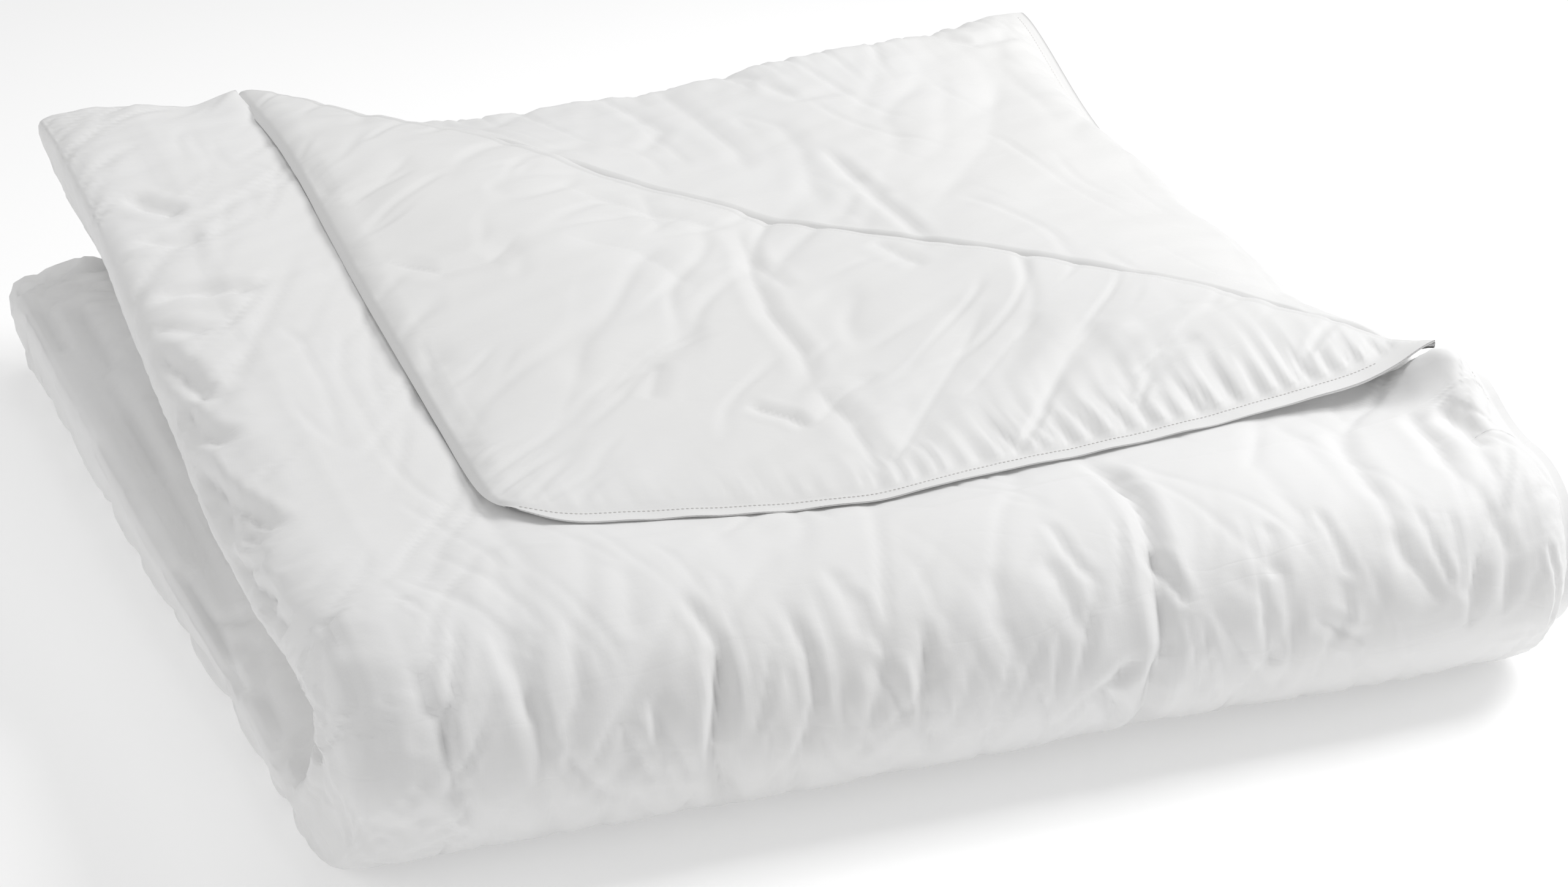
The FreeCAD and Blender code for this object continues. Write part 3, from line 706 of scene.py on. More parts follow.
def shell(name, up, down, u, v, up_normals=None):
    """A closed piece from an upper and a lower sheet on the same grid."""
    rows, cols = up.shape[:2]
    n = rows * cols
    nu = grid_normals(up)
    # which way the upper sheet's quads have to wind
    sign = float((nu * (up - down)).sum())
    top = grid_quads(rows, cols, 0, flip=sign > 0)
    # normals of grid_quads with no flip point along -(dv x du)
    low = grid_quads(rows, cols, n, flip=sign <= 0)
    loop = rim(rows, cols)
    nxt = np.roll(loop, -1)
    side = np.stack([loop, nxt, nxt + n, loop + n], -1)
    if sign <= 0:
        side = side[:, ::-1]
    verts = np.concatenate([up.reshape(-1, 3), down.reshape(-1, 3)])
    uv = np.stack([u, v], -1).reshape(-1, 2)
    uv = np.concatenate([uv, uv + (0.31, 0.17)])
    normals = None
    if up_normals is not None:
        nd = grid_normals(down)
        nd *= np.where((nd * (down - up)).sum(-1, keepdims=True) > 0, 1, -1)
        # along a sewn edge the lower sheet's rim faces as the upper one's does
        thin = (np.linalg.norm(up - down, axis=-1, keepdims=True) < 0.003) & (up_normals[..., 2].mean() > 0)
        nd = np.where(thin, up_normals, nd)
        normals = np.concatenate([up_normals.reshape(-1, 3), nd.reshape(-1, 3)])
    return make(name, verts, np.concatenate([top, low, side]), uv, normals)


def dashes(name, line, up, pitch=0.0042, length=0.0030, radius=0.00042):
    """Lockstitches along a line: one short rounded thread each, lying on the cloth."""
    line, up = np.asarray(line, float), np.asarray(up, float)
    s = np.r_[0, np.cumsum(np.linalg.norm(np.diff(line, axis=0), axis=1))]
    n = int(s[-1] / pitch)
    starts = (np.arange(n) + 0.2) * pitch
    verts, quads, tris = [], [], []
    ring = np.arange(6) * np.pi / 3
    for k, s0 in enumerate(starts):
        pts = [np.array([np.interp(q, s, line[:, a]) for a in range(3)]) for q in (s0, s0 + length * 0.5, s0 + length)]
        nz = np.array([np.interp(s0, s, up[:, a]) for a in range(3)])
        nz /= np.linalg.norm(nz)
        d = pts[2] - pts[0]
        d /= np.linalg.norm(d)
        side = np.cross(d, nz)
        base = len(verts)
        for p, lift, r in zip(pts, (-0.25, 0.75, -0.25), (0.75, 1.0, 0.75)):
            c = p + nz * radius * lift
            for a in ring:
                verts.append(c + (side * math.cos(a) + nz * math.sin(a)) * radius * r)
        for i in range(2):
            for j in range(6):
                a, b = base + i * 6 + j, base + i * 6 + (j + 1) % 6
                quads.append((a, b, b + 6, a + 6))
        for j in range(1, 5):
            tris.append((base, base + j + 1, base + j))
            tris.append((base + 12, base + 12 + j, base + 12 + j + 1))
    return make(name, verts, quads, np.zeros((len(verts), 2)), None, tris)


# ---------------------------------------------------------------- the outer ply: top, side folds, front fold, base
P, I, H, F, S, T, (r0, r1, ca, cb, cc) = outer_skin(215, 150, 72, 132)
outer = P + I * (H * (1 - F))[..., None]
inner = P + I * (H * (1 + 0.96 * F) + 0.0006)[..., None]
N = grid_normals(outer, I)
X, Y, Z = outer[..., 0], outer[..., 1], outer[..., 2]
rows, cols = S.shape
R_I, C_I = np.meshgrid(np.arange(rows), np.arange(cols), indexing="ij")
body = np.clip(F * 1.15 - 0.1, 0, 1)

wave = rumple(T, S, 11, 0.0036, 0.0011)
wave += -0.0032 * veins(T, S, 31, 0.34, 0.085, 82)
wave += -0.0022 * veins(T, S, 47, 0.22, 0.050, 62)
wave += -0.0016 * veins(T, S, 59, 0.15, 0.036, 108, 0.2)
# on the front fold's lower half the slack cloth hangs in more, mostly upright, creases
front = smooth((S - 0.03) / 0.09) * (1 - smooth((S - 0.31) / 0.03)) * (C_I < cb)
wave += front * (-0.0036 * veins(T, S, 71, 0.34, 0.080, 74, 0.12) - 0.0020 * veins(T, S, 83, 0.24, 0.050, 62, 0.14))
# the base lies flat on what it stands on
flat = smooth((S - 0.312) / 0.03) * (C_I < cb + 3)
# under the turned corner the ply is pressed smooth
into = np.minimum(X - side_x(Y), Y - hem_y(X))
under = smooth((into + 0.004) / 0.03) * (C_I < cb) * (R_I < r0 + 4)
wave *= 1 - 0.75 * under
disp = wave * body * (1 - flat)
draws = np.random.default_rng(29)
fine = []
for k in range(46):
    t0 = 0.04 + 0.98 * (k + draws.uniform(-0.4, 0.4)) / 46
    s0, run_, lean = draws.uniform(0.02, 0.20), draws.uniform(0.045, 0.13), draws.uniform(-0.35, 0.30)
    s1 = min(s0 + run_, 0.30)
    bow = draws.uniform(-0.006, 0.006)
    fine.append(([(t0, s0), (t0 + lean * (s1 - s0) / 2 + bow, (s0 + s1) / 2), (t0 + lean * (s1 - s0), s1)], draws.uniform(0.005, 0.010), draws.uniform(0.0012, 0.0030)))
fine_cut = strokes(T, S, fine) * (C_I < cb) * (S > 0)
cut = fine_cut + strokes(T, S, FRONT_CREASES) * (C_I < cb + 8) * (1 - 0.8 * under) * (S < 0.33) * 0.80
cut += strokes(T, S, LEFT_CREASES) * (R_I < r1) * 1.2
cut += strokes(T, S, LOWER_CREASES) * (R_I > r0) * (C_I > cb - 5) * 1.0

# gathers at the sewn right edge, along both side folds and at the back
right_d = np.where(C_I < cb, T, 9.0)
disp += puckers(S, right_d, 101, 0.022, 0.055, 0.0030) * (1 - flat)
fold_top = (C_I >= cb - 40) & (R_I < r0 + 30)
left_d = np.abs(X - 0.012) + 0.25 * np.maximum(Z * 0 + (0.30 - Z) * 0, 0)
disp += puckers(S, left_d, 113, 0.032, 0.085, 0.0036) * fold_top * smooth((Z - 0.12) / 0.04)
side = (C_I >= cb - 4) & (R_I >= r0)
disp += side * body * (-0.0045 * veins(T, S, 127, 0.42, 0.050, 86) - 0.002 * veins(T, S, 131, 0.10, 0.03, 30, 0.2)) * smooth((Z - 0.012) / 0.02)
back_d = np.where(R_I < r0, S - S[0:1, :], S[-1:, :] - S)
disp += puckers(T, back_d, 139, 0.024, 0.05, 0.0030) * (1 - flat) * ((R_I < r0) | (C_I > cb))

# the slack cloth at the back left corner stands in small folds
crumple = np.exp(-(((Y - 1.04) / 0.10) ** 2)) * (X < 0.16) * (Z > 0.02) * (R_I >= r1)
disp += crumple * 0.010 * (noise(T / 0.045, S / 0.038, 151) + 0.6 * noise(T / 0.022, S / 0.024, 152))
# a dimple at the front left end of the front fold
dim = np.exp(-(((Z - 0.075) / 0.022) ** 2) - ((X - 0.03) / 0.035) ** 2) * (Y < 0.08)
disp -= 0.012 * dim

# the lower pair's side is drawn into long slanting creases
slant = [
    ([(1.045 + 0.012 * (k % 3), s0), (1.085, s0 - 0.075), (1.135 + 0.010 * (k % 2), s0 - 0.16 - 0.03 * (k % 3))], 0.013 + 0.003 * (k % 2), 0.0075 - 0.0012 * (k % 3))
    for k, s0 in enumerate((1.355, 1.285, 1.205, 1.10, 1.02, 0.90, 0.82, 0.70, 0.61, 0.50))
]
cut += 0.75 * strokes(T, S, slant) * (R_I >= r1 - 4) * (C_I > cb - 2)
cut = np.maximum(cut, -0.015)
disp = np.clip(disp, -0.012, 0.012)
before = outer.copy()
base_outer = outer + N * (disp * 0.55 + cut)[..., None]
start = outer + N * (disp * 0.9 + cut * 1.1)[..., None]
near_left = np.exp(-np.maximum(X - 0.01, 0) / 0.09) * (Z > 0.13) * (R_I < r0 + 30)
slack_u = (0.009 + 0.006 * front + 0.030 * np.exp(-((right_d / 0.06) ** 2))) * (1 - 0.8 * under)
slack_u += 0.035 * side * (R_I >= r0) + 0.035 * np.exp(-((back_d / 0.05) ** 2)) * (R_I < r0)
slack_v = (0.012 + 0.030 * near_left) * (1 - 0.8 * under) + 0.040 * np.exp(-((right_d / 0.05) ** 2)) + 0.04 * (crumple > 0.3)
slack_u, slack_v = slack_u * (1 - flat), slack_v * (1 - flat)
free = smooth((F - 0.05) / 0.35) * (1 - flat)
free[:, :ca] = 0
outer = settle(start, base_outer, slack_u, slack_v, free)
inner = inner + (outer - before) * (1 - 0.85 * F)[..., None]
outer[..., 2] = np.maximum(outer[..., 2], 0.0002)
inner[..., 2] = np.maximum(inner[..., 2], 0.0002)
N = grid_normals(outer, I)
U, V = T, S


def part_of_skin(name, ra, rb, c0, c1):
    sl = (slice(ra, rb), slice(c0, c1))
    return shell(name, outer[sl], inner[sl], U[sl], V[sl], N[sl])


top_ply = part_of_skin("top_ply", 0, r0 + 1, 0, cb + 1)
upper_fold_piece = part_of_skin("upper_side_fold", 0, r0 + 1, cb, cols)
front_roll = part_of_skin("front_fold_outer", r0, r1 + 1, 0, cols)
base_ply = part_of_skin("base_ply", r1, rows, 0, cb + 1)
lower_fold_piece = part_of_skin("lower_side_fold", r1, rows, cb, cols)

# ---------------------------------------------------------------- the two plies inside, and the fold that joins them
up2, down2, s2, t2, f2 = pad(0.10, BACK2, top2, low2, 195, 195, share=open_share)
x2, y2 = up2[..., 0], up2[..., 1]
gap = ridge_gap(x2, y2)
shown = smooth((gap + 0.01) / 0.03)
n2 = grid_normals(up2)
n2 *= np.where(n2[..., 2:] < 0, -1, 1)
w2 = rumple(x2, y2, 211, 0.0034, 0.0010)
w2 += -0.0026 * veins(x2, y2, 223, 0.30, 0.085, 60) - 0.0016 * veins(x2, y2, 227, 0.18, 0.05, 100)
d2 = np.clip(f2 * 1.15 - 0.1, 0, 1) * w2 * shown
d2 += strokes(x2, y2, OPEN_CREASES) * shown * 0.65
d2 += puckers(y2, XR - x2, 229, 0.024, 0.05, 0.0024) * shown
d2 += puckers(x2, BACK2 - y2, 233, 0.026, 0.075, 0.0048) * shown
slack = 0.012 + np.zeros_like(d2)
before2 = up2.copy()
up2 = settle(
    up2 + n2 * (d2 * 1.0)[..., None],
    up2 + n2 * (d2 * 0.75)[..., None],
    slack + 0.045 * np.exp(-((np.maximum(BACK2 - y2, 0) / 0.07) ** 2)),
    slack + 0.030 * np.exp(-((np.maximum(XR - x2, 0) / 0.06) ** 2)),
    smooth((f2 - 0.05) / 0.35) * shown,
)
down2 = down2 + (up2 - before2) * (1 - np.clip(f2 * 1.6, 0, 1))[..., None]
w3 = rumple(x2, y2, 241, 0.0022, 0.0008)
down2[..., 2] += (np.maximum(w3, 0) + np.maximum(puckers(x2, BACK2 - y2, 261, 0.026, 0.06, 0.0040), 0)) * f2
second_ply = shell("second_ply", up2, down2, t2, s2 + 2.3)

up3, down3, s3, t3, f3 = pad(0.10, BACK3, lambda x, y: top3(x, y), lambda x, y: top3(x, y) / 2 + 0.0012, 170, 170)
up3[..., 2] -= np.maximum(rumple(up3[..., 0], up3[..., 1], 251, 0.0022, 0.0008), 0) * f3
up3[..., 2] += np.minimum(puckers(up3[..., 0], BACK3 - up3[..., 1], 257, 0.026, 0.06, 0.0040), 0) * f3
third_ply = shell("third_ply", up3, down3, t3, s3 + 4.6)

in_out, in_axis = inner_roll(120, 40)
q = np.arange(in_out.shape[0])[:, None] * 0.0047 + np.zeros(in_out.shape[:2])
w = np.arange(in_out.shape[1])[None, :] * 0.0085 + np.zeros(in_out.shape[:2])
inner_fold = shell("front_fold_inner", in_out, in_axis, w, q)

# ---------------------------------------------------------------- the turned corner
n_flap = 215
fu, fd, inside, fi, fj, d_side, d_hem = flap(n_flap)
fx, fy = fu[..., 0], fu[..., 1]
nf = grid_normals(fu)
nf *= np.where(nf[..., 2:] < 0, -1, 1)
ridge_d = -ridge_gap(fx, fy)
open_f = np.clip(np.minimum(d_side / 0.03, np.maximum(d_hem - 0.012, 0) / 0.03), 0, 1)
wf = rumple(fx, fy, 311, 0.0030, 0.0010)
wf += -0.0030 * veins(fx, fy, 317, 0.24, 0.080, 52) - 0.0018 * veins(fx, fy, 331, 0.16, 0.045, 35, 0.2)
df = wf * open_f
df += strokes(fx, fy, FLAP_CREASES) * np.clip(open_f + 0.3, 0, 1) * 0.8
gather = 0.35 + 0.65 * smooth((fx - 0.40) / 0.35)
df += puckers(fx, d_hem - 0.012, 337, 0.019, 0.060, 0.0046) * gather
df += puckers(fy, d_side, 347, 0.030, 0.050, 0.0022)
slack = 0.014 + np.zeros_like(df)
# i runs along the front edge and is the first index, so its slack is slack_v
fu = settle(
    fu + nf * (df * 1.0)[..., None],
    fu + nf * (df * 0.8)[..., None],
    slack + 0.030 * np.exp(-((d_side / 0.05) ** 2)),
    slack + 0.060 * np.exp(-((np.maximum(d_hem - HEM, 0) / 0.06) ** 2)) * gather,
    smooth(d_side / 0.010) * smooth((d_hem - HEM) / 0.012) * smooth(np.maximum(ridge_d, 0) / 0.012),
    inside=inside,
)
# the sewn flange along the front edge waves a little
curl = 0.0018 * noise(fx / 0.055, 0.5, 353) * np.exp(-(d_hem / 0.016)) + 0.0028 * noise(fx / 0.16, 0.2, 359) * np.exp(-(d_hem / 0.03))
fu[..., 2] += curl
fd[..., 2] += curl
under_f = open_f * (0.0030 * noise(fx / 0.12, fy / 0.16, 391) + 0.0016 * noise(fx / 0.05, fy / 0.08, 397))
fd[..., 2] += np.maximum(under_f - 0.0005, 0)
nf = grid_normals(fu)
nf *= np.where(nf[..., 2:] < 0, -1, 1)

line_i = np.arange(n_flap + 1)
ridge_line = fu[line_i, n_flap - line_i]
ridge_low = fd[line_i, n_flap - line_i]
rr = ridge_roll(ridge_line)
ru = np.linspace(0, 1.24, n_flap + 1)[None, :] + np.zeros(rr.shape[:2])
rv = np.arange(rr.shape[0])[:, None] * 0.006 + np.zeros(rr.shape[:2])
nr = grid_normals(rr)
mid_r = (rr[:1] + rr[-1:]) / 2
nr *= np.where((nr * (rr - mid_r)).sum(-1, keepdims=True) < 0, -1, 1)
amp = np.sin(np.linspace(0, np.pi, rr.shape[0]))[:, None]
dr = (0.004 * noise(ru / 0.10, rv / 0.06, 367) + 0.0022 * noise(ru / 0.035, rv / 0.05, 373)) * amp
rr = rr + nr * dr[..., None]
shared = nf[line_i, n_flap - line_i] + np.array([BEHIND[0], BEHIND[1], 0.0]) * 0.6
shared /= np.linalg.norm(shared, axis=-1, keepdims=True)
nf[line_i, n_flap - line_i] = shared
nr = grid_normals(rr)
nr *= np.where((nr * (rr - mid_r)).sum(-1, keepdims=True) < 0, -1, 1)
nr[0] = shared


def tri_piece(name, up, down, inside, normals):
    n = inside.shape[0] - 1
    index = np.full(inside.shape, -1)
    index[inside] = np.arange(inside.sum())
    count = int(inside.sum())
    i, j = np.meshgrid(np.arange(n), np.arange(n), indexing="ij")
    m = i + j <= n - 2
    qd = np.stack([index[i[m], j[m]], index[i[m] + 1, j[m]], index[i[m] + 1, j[m] + 1], index[i[m], j[m] + 1]], -1)
    m = i + j == n - 1
    tr = np.stack([index[i[m], j[m]], index[i[m] + 1, j[m]], index[i[m], j[m] + 1]], -1)
    k = np.arange(n)
    loop = np.concatenate([index[k, 0], index[n - k, k], index[0, n - k]])
    nxt = np.roll(loop, -1)
    side = np.stack([loop, loop + count, nxt + count, nxt], -1)
    quads = np.concatenate([qd, qd[:, ::-1] + count, side])
    tris = np.concatenate([tr, tr[:, ::-1] + count])
    verts = np.concatenate([up[inside], down[inside]])
    uv = verts[:, :2] * 1.0
    uv[count:] += (0.37, 0.21)
    nd = grid_normals(down)
    nd *= np.where(nd[..., 2:] > 0, -1, 1)
    # the two sewn edges face outwards
    nd[0, :] = (-0.95, 0.0, 0.31)
    nd[:, 0] = (0.0, -0.95, 0.31)
    return make(name, verts, quads, uv, np.concatenate([normals[inside], nd[inside]]), tris)


corner_flap = tri_piece("corner_flap", fu, fd, inside, nf)
inside_line = (ridge_line + rr[-1]) / 2
back_sheet = inside_line[None] + (rr - inside_line[None]) * 0.12
corner_ridge = shell("corner_fold", rr, back_sheet, ru, rv, nr)

# topstitching on the turned corner's flange, 12 mm in from the edge
row = 3
st = np.array([[np.interp(0.0115, d_hem[i, : n_flap + 1 - i], fu[i, : n_flap + 1 - i, a]) for a in range(3)] for i in range(4, n_flap - 12)])
st_n = np.array([nf[i, row] for i in range(4, n_flap - 12)])
flap_stitch = dashes("corner_flap_stitching", st, st_n)
flap_stitch["kind"] = "thread"


def edge_stitch(name, sheet, normals, col, ra, rb):
    return dashes(name, sheet[ra:rb, col], normals[ra:rb, col], 0.0044)


top_stitch = edge_stitch("top_ply_stitching", outer, N, ca, 14, r0)
base_stitch = edge_stitch("base_ply_stitching", outer, N, ca, r1 + 2, rows - 4)
n_up2 = grid_normals(up2)
n_up2 *= np.where(n_up2[..., 2:] < 0, -1, 1)
second_stitch = edge_stitch("second_ply_stitching", up2, n_up2, 3, 4, 140)
n_up3 = grid_normals(up3)
n_up3 *= np.where(n_up3[..., 2:] < 0, -1, 1)
third_stitch = edge_stitch("third_ply_stitching", up3, n_up3, 3, 4, 166)
threads = [flap_stitch, top_stitch, base_stitch, second_stitch, third_stitch]


# ---------------------------------------------------------------- materials
def percale(name, colour, seed, sheen=0.18, roughness=0.62):
    """Closely woven cotton: a fine plain weave, soft crumpling finer than the mesh, faint colour variation, and painted
    shade where the weave lies low.
    """
    mat = bpy.data.materials.new(name)
    mat.use_nodes = True
    nt = mat.node_tree
    nt.nodes.clear()
    out = nt.nodes.new("ShaderNodeOutputMaterial")
    bsdf = nt.nodes.new("ShaderNodeBsdfPrincipled")
    bsdf.inputs["Sheen Weight"].default_value = sheen
    bsdf.inputs["Sheen Roughness"].default_value = 0.45
    bsdf.inputs["Specular IOR Level"].default_value = 0.36
    nt.links.new(bsdf.outputs[0], out.inputs[0])
    uv = nt.nodes.new("ShaderNodeUVMap")
    uv.uv_map = "metres"
    obj_co = nt.nodes.new("ShaderNodeTexCoord")

    def noise_node(scale, detail, rough=0.5, source=None, distortion=0.0):
        n = nt.nodes.new("ShaderNodeTexNoise")
        n.inputs["Scale"].default_value = scale
        n.inputs["Detail"].default_value = detail
        n.inputs["Roughness"].default_value = rough
        n.inputs["Distortion"].default_value = distortion
        nt.links.new(source or uv.outputs[0], n.inputs["Vector"])
        return n

    def ramp(source, lo, hi, a, b):
        r = nt.nodes.new("ShaderNodeMapRange")
        r.inputs["From Min"].default_value = lo
        r.inputs["From Max"].default_value = hi
        r.inputs["To Min"].default_value = a
        r.inputs["To Max"].default_value = b
        nt.links.new(source, r.inputs["Value"])
        return r

    # colour: optical white with a barely warm and barely cool drift
    drift = noise_node(3.0, 3.0, 0.55, obj_co.outputs["Object"])
    cr = nt.nodes.new("ShaderNodeValToRGB")
    cr.color_ramp.elements[0].position = 0.30
    cr.color_ramp.elements[0].color = (*[c * k for c, k in zip(colour, (0.975, 0.972, 0.966))], 1)
    cr.color_ramp.elements[1].position = 0.72
    cr.color_ramp.elements[1].color = (*colour, 1)
    nt.links.new(drift.outputs["Fac"], cr.inputs["Fac"])
    # the weave's tone is a little darker where it lies low, from the same waves as its bump: painted shade between the
    # threads
    wave_a = nt.nodes.new("ShaderNodeTexWave")
    wave_a.wave_type, wave_a.bands_direction, wave_a.wave_profile = "BANDS", "X", "SIN"
    wave_a.inputs["Scale"].default_value = 360.0
    wave_a.inputs["Distortion"].default_value = 0.6
    wave_a.inputs["Detail"].default_value = 1.0
    wave_b = nt.nodes.new("ShaderNodeTexWave")
    wave_b.wave_type, wave_b.bands_direction, wave_b.wave_profile = "BANDS", "Y", "SIN"
    wave_b.inputs["Scale"].default_value = 360.0
    wave_b.inputs["Distortion"].default_value = 0.6
    wave_b.inputs["Detail"].default_value = 1.0
    for wv in (wave_a, wave_b):
        nt.links.new(uv.outputs[0], wv.inputs["Vector"])
    weave = nt.nodes.new("ShaderNodeMath")
    weave.operation = "MULTIPLY"
    nt.links.new(wave_a.outputs["Fac"], weave.inputs[0])
    nt.links.new(wave_b.outputs["Fac"], weave.inputs[1])
    painted_weave_shade = ramp(weave.outputs[0], 0, 1, 0.975, 1.0)
    mix = nt.nodes.new("ShaderNodeMix")
    mix.data_type, mix.blend_type = "RGBA", "MULTIPLY"
    mix.inputs["Factor"].default_value = 1.0
    nt.links.new(cr.outputs["Color"], mix.inputs["A"])
    nt.links.new(painted_weave_shade.outputs[0], mix.inputs["B"])
    nt.links.new(mix.outputs["Result"], bsdf.inputs["Base Color"])
    # roughness: pressed places shine slightly more
    press = noise_node(7.0, 4.0, 0.6)
    nt.links.new(ramp(press.outputs["Fac"], 0.3, 0.7, roughness - 0.07, roughness + 0.06).outputs[0], bsdf.inputs["Roughness"])
    # relief: crumples of 5 to 40 mm, then the weave
    map1 = nt.nodes.new("ShaderNodeMapping")
    map1.inputs["Rotation"].default_value = (0, 0, 0.5 + seed)
    map1.inputs["Scale"].default_value = (1.0, 2.2, 1.0)
    nt.links.new(uv.outputs[0], map1.inputs["Vector"])
    crumple_a = noise_node(14.0, 3.0, 0.45, map1.outputs[0], 0.5)
    crumple_b = noise_node(90.0, 3.0, 0.55, map1.outputs[0], 0.3)
    # crease lines finer than the mesh: where a stretched noise crosses its middle
    map2 = nt.nodes.new("ShaderNodeMapping")
    map2.inputs["Rotation"].default_value = (0, 0, 1.1 + seed)
    map2.inputs["Scale"].default_value = (5.0, 17.0, 1.0)
    nt.links.new(uv.outputs[0], map2.inputs["Vector"])
    lines = noise_node(1.0, 2.0, 0.5, map2.outputs[0], 0.9)
    off_mid = nt.nodes.new("ShaderNodeMath")
    off_mid.operation = "SUBTRACT"
    off_mid.inputs[1].default_value = 0.5
    nt.links.new(lines.outputs["Fac"], off_mid.inputs[0])
    away = nt.nodes.new("ShaderNodeMath")
    away.operation = "ABSOLUTE"
    nt.links.new(off_mid.outputs[0], away.inputs[0])
    crease = ramp(away.outputs[0], 0.0, 0.055, 0.0, 1.0)
    bump0 = nt.nodes.new("ShaderNodeBump")
    bump0.inputs["Strength"].default_value = 0.22
    bump0.inputs["Distance"].default_value = 0.0005
    nt.links.new(crease.outputs[0], bump0.inputs["Height"])
    bump1 = nt.nodes.new("ShaderNodeBump")
    nt.links.new(bump0.outputs[0], bump1.inputs["Normal"])
    bump1.inputs["Strength"].default_value = 0.35
    bump1.inputs["Distance"].default_value = 0.0022
    nt.links.new(crumple_a.outputs["Fac"], bump1.inputs["Height"])
    bump2 = nt.nodes.new("ShaderNodeBump")
    bump2.inputs["Strength"].default_value = 0.3
    bump2.inputs["Distance"].default_value = 0.0004
    nt.links.new(crumple_b.outputs["Fac"], bump2.inputs["Height"])
    nt.links.new(bump1.outputs[0], bump2.inputs["Normal"])
    bump3 = nt.nodes.new("ShaderNodeBump")
    bump3.inputs["Strength"].default_value = 0.35
    bump3.inputs["Distance"].default_value = 0.00006
    nt.links.new(weave.outputs[0], bump3.inputs["Height"])
    nt.links.new(bump2.outputs[0], bump3.inputs["Normal"])
    nt.links.new(bump3.outputs[0], bsdf.inputs["Normal"])
    return mat


def thread_material(name):
    mat = bpy.data.materials.new(name)
    mat.use_nodes = True
    nt = mat.node_tree
    bsdf = nt.nodes["Principled BSDF"]
    bsdf.inputs["Sheen Weight"].default_value = 0.25
    tex = nt.nodes.new("ShaderNodeTexCoord")
    tw = nt.nodes.new("ShaderNodeTexWave")
    tw.bands_direction = "DIAGONAL"
    tw.inputs["Scale"].default_value = 700.0
    nt.links.new(tex.outputs["Object"], tw.inputs["Vector"])
    # the thread's tone runs from 0.60 in its twist's grooves to 0.84 on its ridges, following the same waves as its
    # bump: painted shade in the grooves
    cr = nt.nodes.new("ShaderNodeValToRGB")
    cr.color_ramp.elements[0].color = (0.60, 0.59, 0.57, 1)
    cr.color_ramp.elements[1].color = (0.84, 0.835, 0.82, 1)
    nt.links.new(tw.outputs["Fac"], cr.inputs["Fac"])
    nt.links.new(cr.outputs["Color"], bsdf.inputs["Base Color"])
    rr_ = nt.nodes.new("ShaderNodeMapRange")
    rr_.inputs["To Min"].default_value = 0.45
    rr_.inputs["To Max"].default_value = 0.65
    nt.links.new(tw.outputs["Fac"], rr_.inputs["Value"])
    nt.links.new(rr_.outputs[0], bsdf.inputs["Roughness"])
    bump = nt.nodes.new("ShaderNodeBump")
    bump.inputs["Strength"].default_value = 0.6
    bump.inputs["Distance"].default_value = 0.0001
    nt.links.new(tw.outputs["Fac"], bump.inputs["Height"])
    nt.links.new(bump.outputs[0], bsdf.inputs["Normal"])
    return mat


face = percale("face_percale", (0.885, 0.885, 0.885), 0.0)
# the reverse side's percale is a darker copy of the face's white: painted shade on the second ply, the turned corner
# and the diagonal fold
reverse_painted_shade = percale("reverse_percale", (0.835, 0.835, 0.833), 0.8, 0.15, 0.58)
thread = thread_material("thread")
finish_of = {
    "face_percale": (face, [top_ply, upper_fold_piece, front_roll, base_ply, lower_fold_piece, third_ply, inner_fold]),
    "reverse_percale": (reverse_painted_shade, [second_ply, corner_flap, corner_ridge]),
    "thread": (thread, threads),
}
for slot_name, (mat, objs) in finish_of.items():
    for o in objs:
        o.data.materials.append(mat)
for node, obj in frame["nodes"].items():
    obj.data.materials.clear()
    obj.data.materials.append(thread if "stitching" in node else face)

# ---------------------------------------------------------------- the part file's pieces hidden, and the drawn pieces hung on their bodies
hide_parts("top_ply_cover", "top_ply_fill", "top_ply_hem")
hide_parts("upper_side_fold_cover", "upper_side_fold_fill")
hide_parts("front_fold_outer_cover", "front_fold_outer_fill")
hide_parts("base_ply_cover", "base_ply_fill", "base_ply_hem")
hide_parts("lower_side_fold_cover", "lower_side_fold_fill")
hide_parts("second_ply_cover", "second_ply_fill", "second_ply_hem")
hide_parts("third_ply_cover", "third_ply_fill", "third_ply_hem")
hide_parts("front_fold_inner_cover", "front_fold_inner_fill")
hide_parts("corner_flap_cover", "corner_flap_fill", "corner_flap_hem")
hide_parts("corner_fold_cover", "corner_fold_fill")
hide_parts("corner_flap_hem_stitching")
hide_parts("top_ply_hem_stitching")
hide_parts("base_ply_hem_stitching")
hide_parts("second_ply_hem_stitching")
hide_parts("third_ply_hem_stitching")

for o in (top_ply, upper_fold_piece, second_ply, top_stitch, second_stitch):
    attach(o, "upper_half")
for o in (base_ply, lower_fold_piece, third_ply, base_stitch, third_stitch):
    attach(o, "lower_half")
for o in (corner_flap, flap_stitch):
    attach(o, "corner_flap")
hinge_y = HINGE["front_fold"]["pos"][1] if "pos" in HINGE["front_fold"] else -0.4645
for o in (front_roll, inner_fold):
    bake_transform(o)
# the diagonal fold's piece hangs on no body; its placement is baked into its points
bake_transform(corner_ridge)

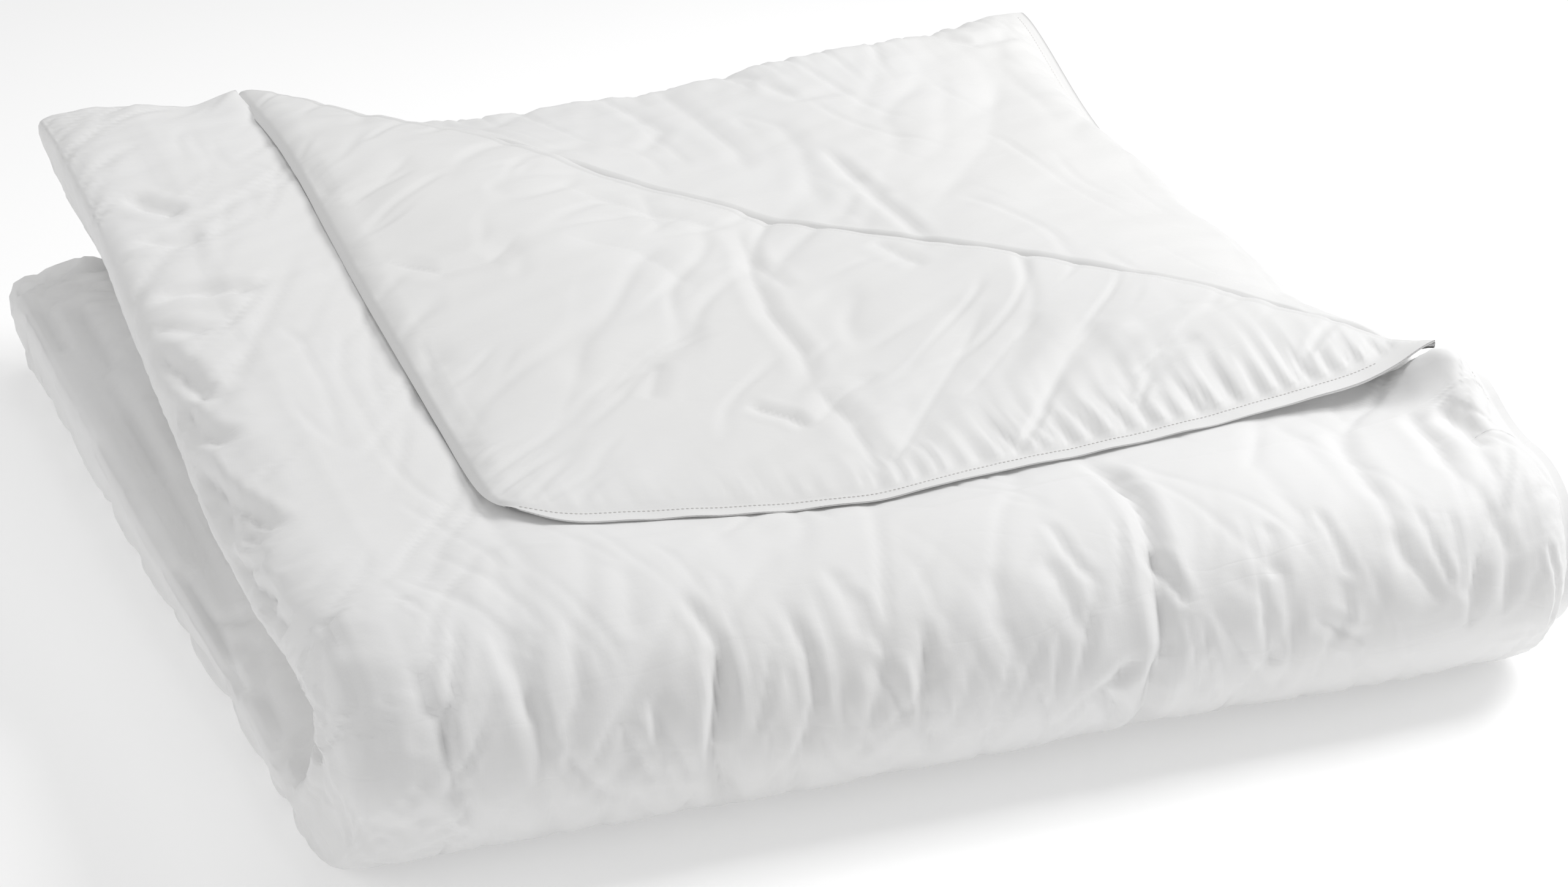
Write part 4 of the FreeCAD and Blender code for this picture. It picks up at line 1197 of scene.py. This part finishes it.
# ---------------------------------------------------------------- floor, lights, camera
bpy.ops.mesh.primitive_plane_add(size=30, location=(0, 0, -0.0004))
floor = bpy.context.object
floor.name = "floor"
fm = bpy.data.materials.new("floor")
fm.use_nodes = True
fb = fm.node_tree.nodes["Principled BSDF"]
fb.inputs["Base Color"].default_value = (0.90, 0.90, 0.90, 1)
fb.inputs["Roughness"].default_value = 0.9
fb.inputs["Specular IOR Level"].default_value = 0.0
fb.inputs["Emission Color"].default_value = (1, 1, 1, 1)
fb.inputs["Emission Strength"].default_value = 0.22
floor.data.materials.append(fm)

world = bpy.data.worlds.new("studio")
bpy.context.scene.world = world
world.use_nodes = True
bg = world.node_tree.nodes["Background"]
bg.inputs["Color"].default_value = (1, 1, 1, 1)
bg.inputs["Strength"].default_value = 0.47


def area(name, loc, target, size, energy, colour=(1, 1, 1)):
    light = bpy.data.lights.new(name, "AREA")
    light.shape = "RECTANGLE"
    light.size, light.size_y = size
    light.energy = energy
    light.color = colour
    o = bpy.data.objects.new(name, light)
    bpy.context.scene.collection.objects.link(o)
    o.location = loc
    o.rotation_euler = (Vector(target) - Vector(loc)).to_track_quat("-Z", "Y").to_euler()
    return o


area("key", (2.0, -0.25, 2.1), (0, 0.0, 0.1), (1.1, 1.1), 43)
area("left", (-2.6, -0.4, 1.3), (-0.4, 0, 0.1), (1.4, 1.0), 6)
area("overhead", (0.1, 0.9, 2.8), (0, 0.0, 0.1), (1.6, 1.2), 12)

yaw, pitch, roll = 0.422, 0.4186, 0.0379
fwd = Vector((math.sin(yaw) * math.cos(pitch), math.cos(yaw) * math.cos(pitch), -math.sin(pitch)))
right = Vector((math.cos(yaw), -math.sin(yaw), 0))
upv = right.cross(fwd)
r2 = math.cos(roll) * right + math.sin(roll) * upv
u2 = -math.sin(roll) * right + math.cos(roll) * upv
cam_data = bpy.data.cameras.new("camera")
cam = bpy.data.objects.new("camera", cam_data)
bpy.context.scene.collection.objects.link(cam)
cam_data.sensor_fit = "HORIZONTAL"
cam_data.sensor_width = 36.0
cam_data.lens = 5400.0 / 2560.0 * 36.0
cam_data.clip_end = 100
m = Matrix((r2, u2, -fwd)).transposed().to_4x4()
m.translation = Vector((-0.5732, -2.1329, 1.3536)) + Vector(SHIFT)
cam.matrix_world = m
bpy.context.scene.camera = cam
bpy.context.scene.view_settings.view_transform = "Standard"

bpy.context.view_layer.update()
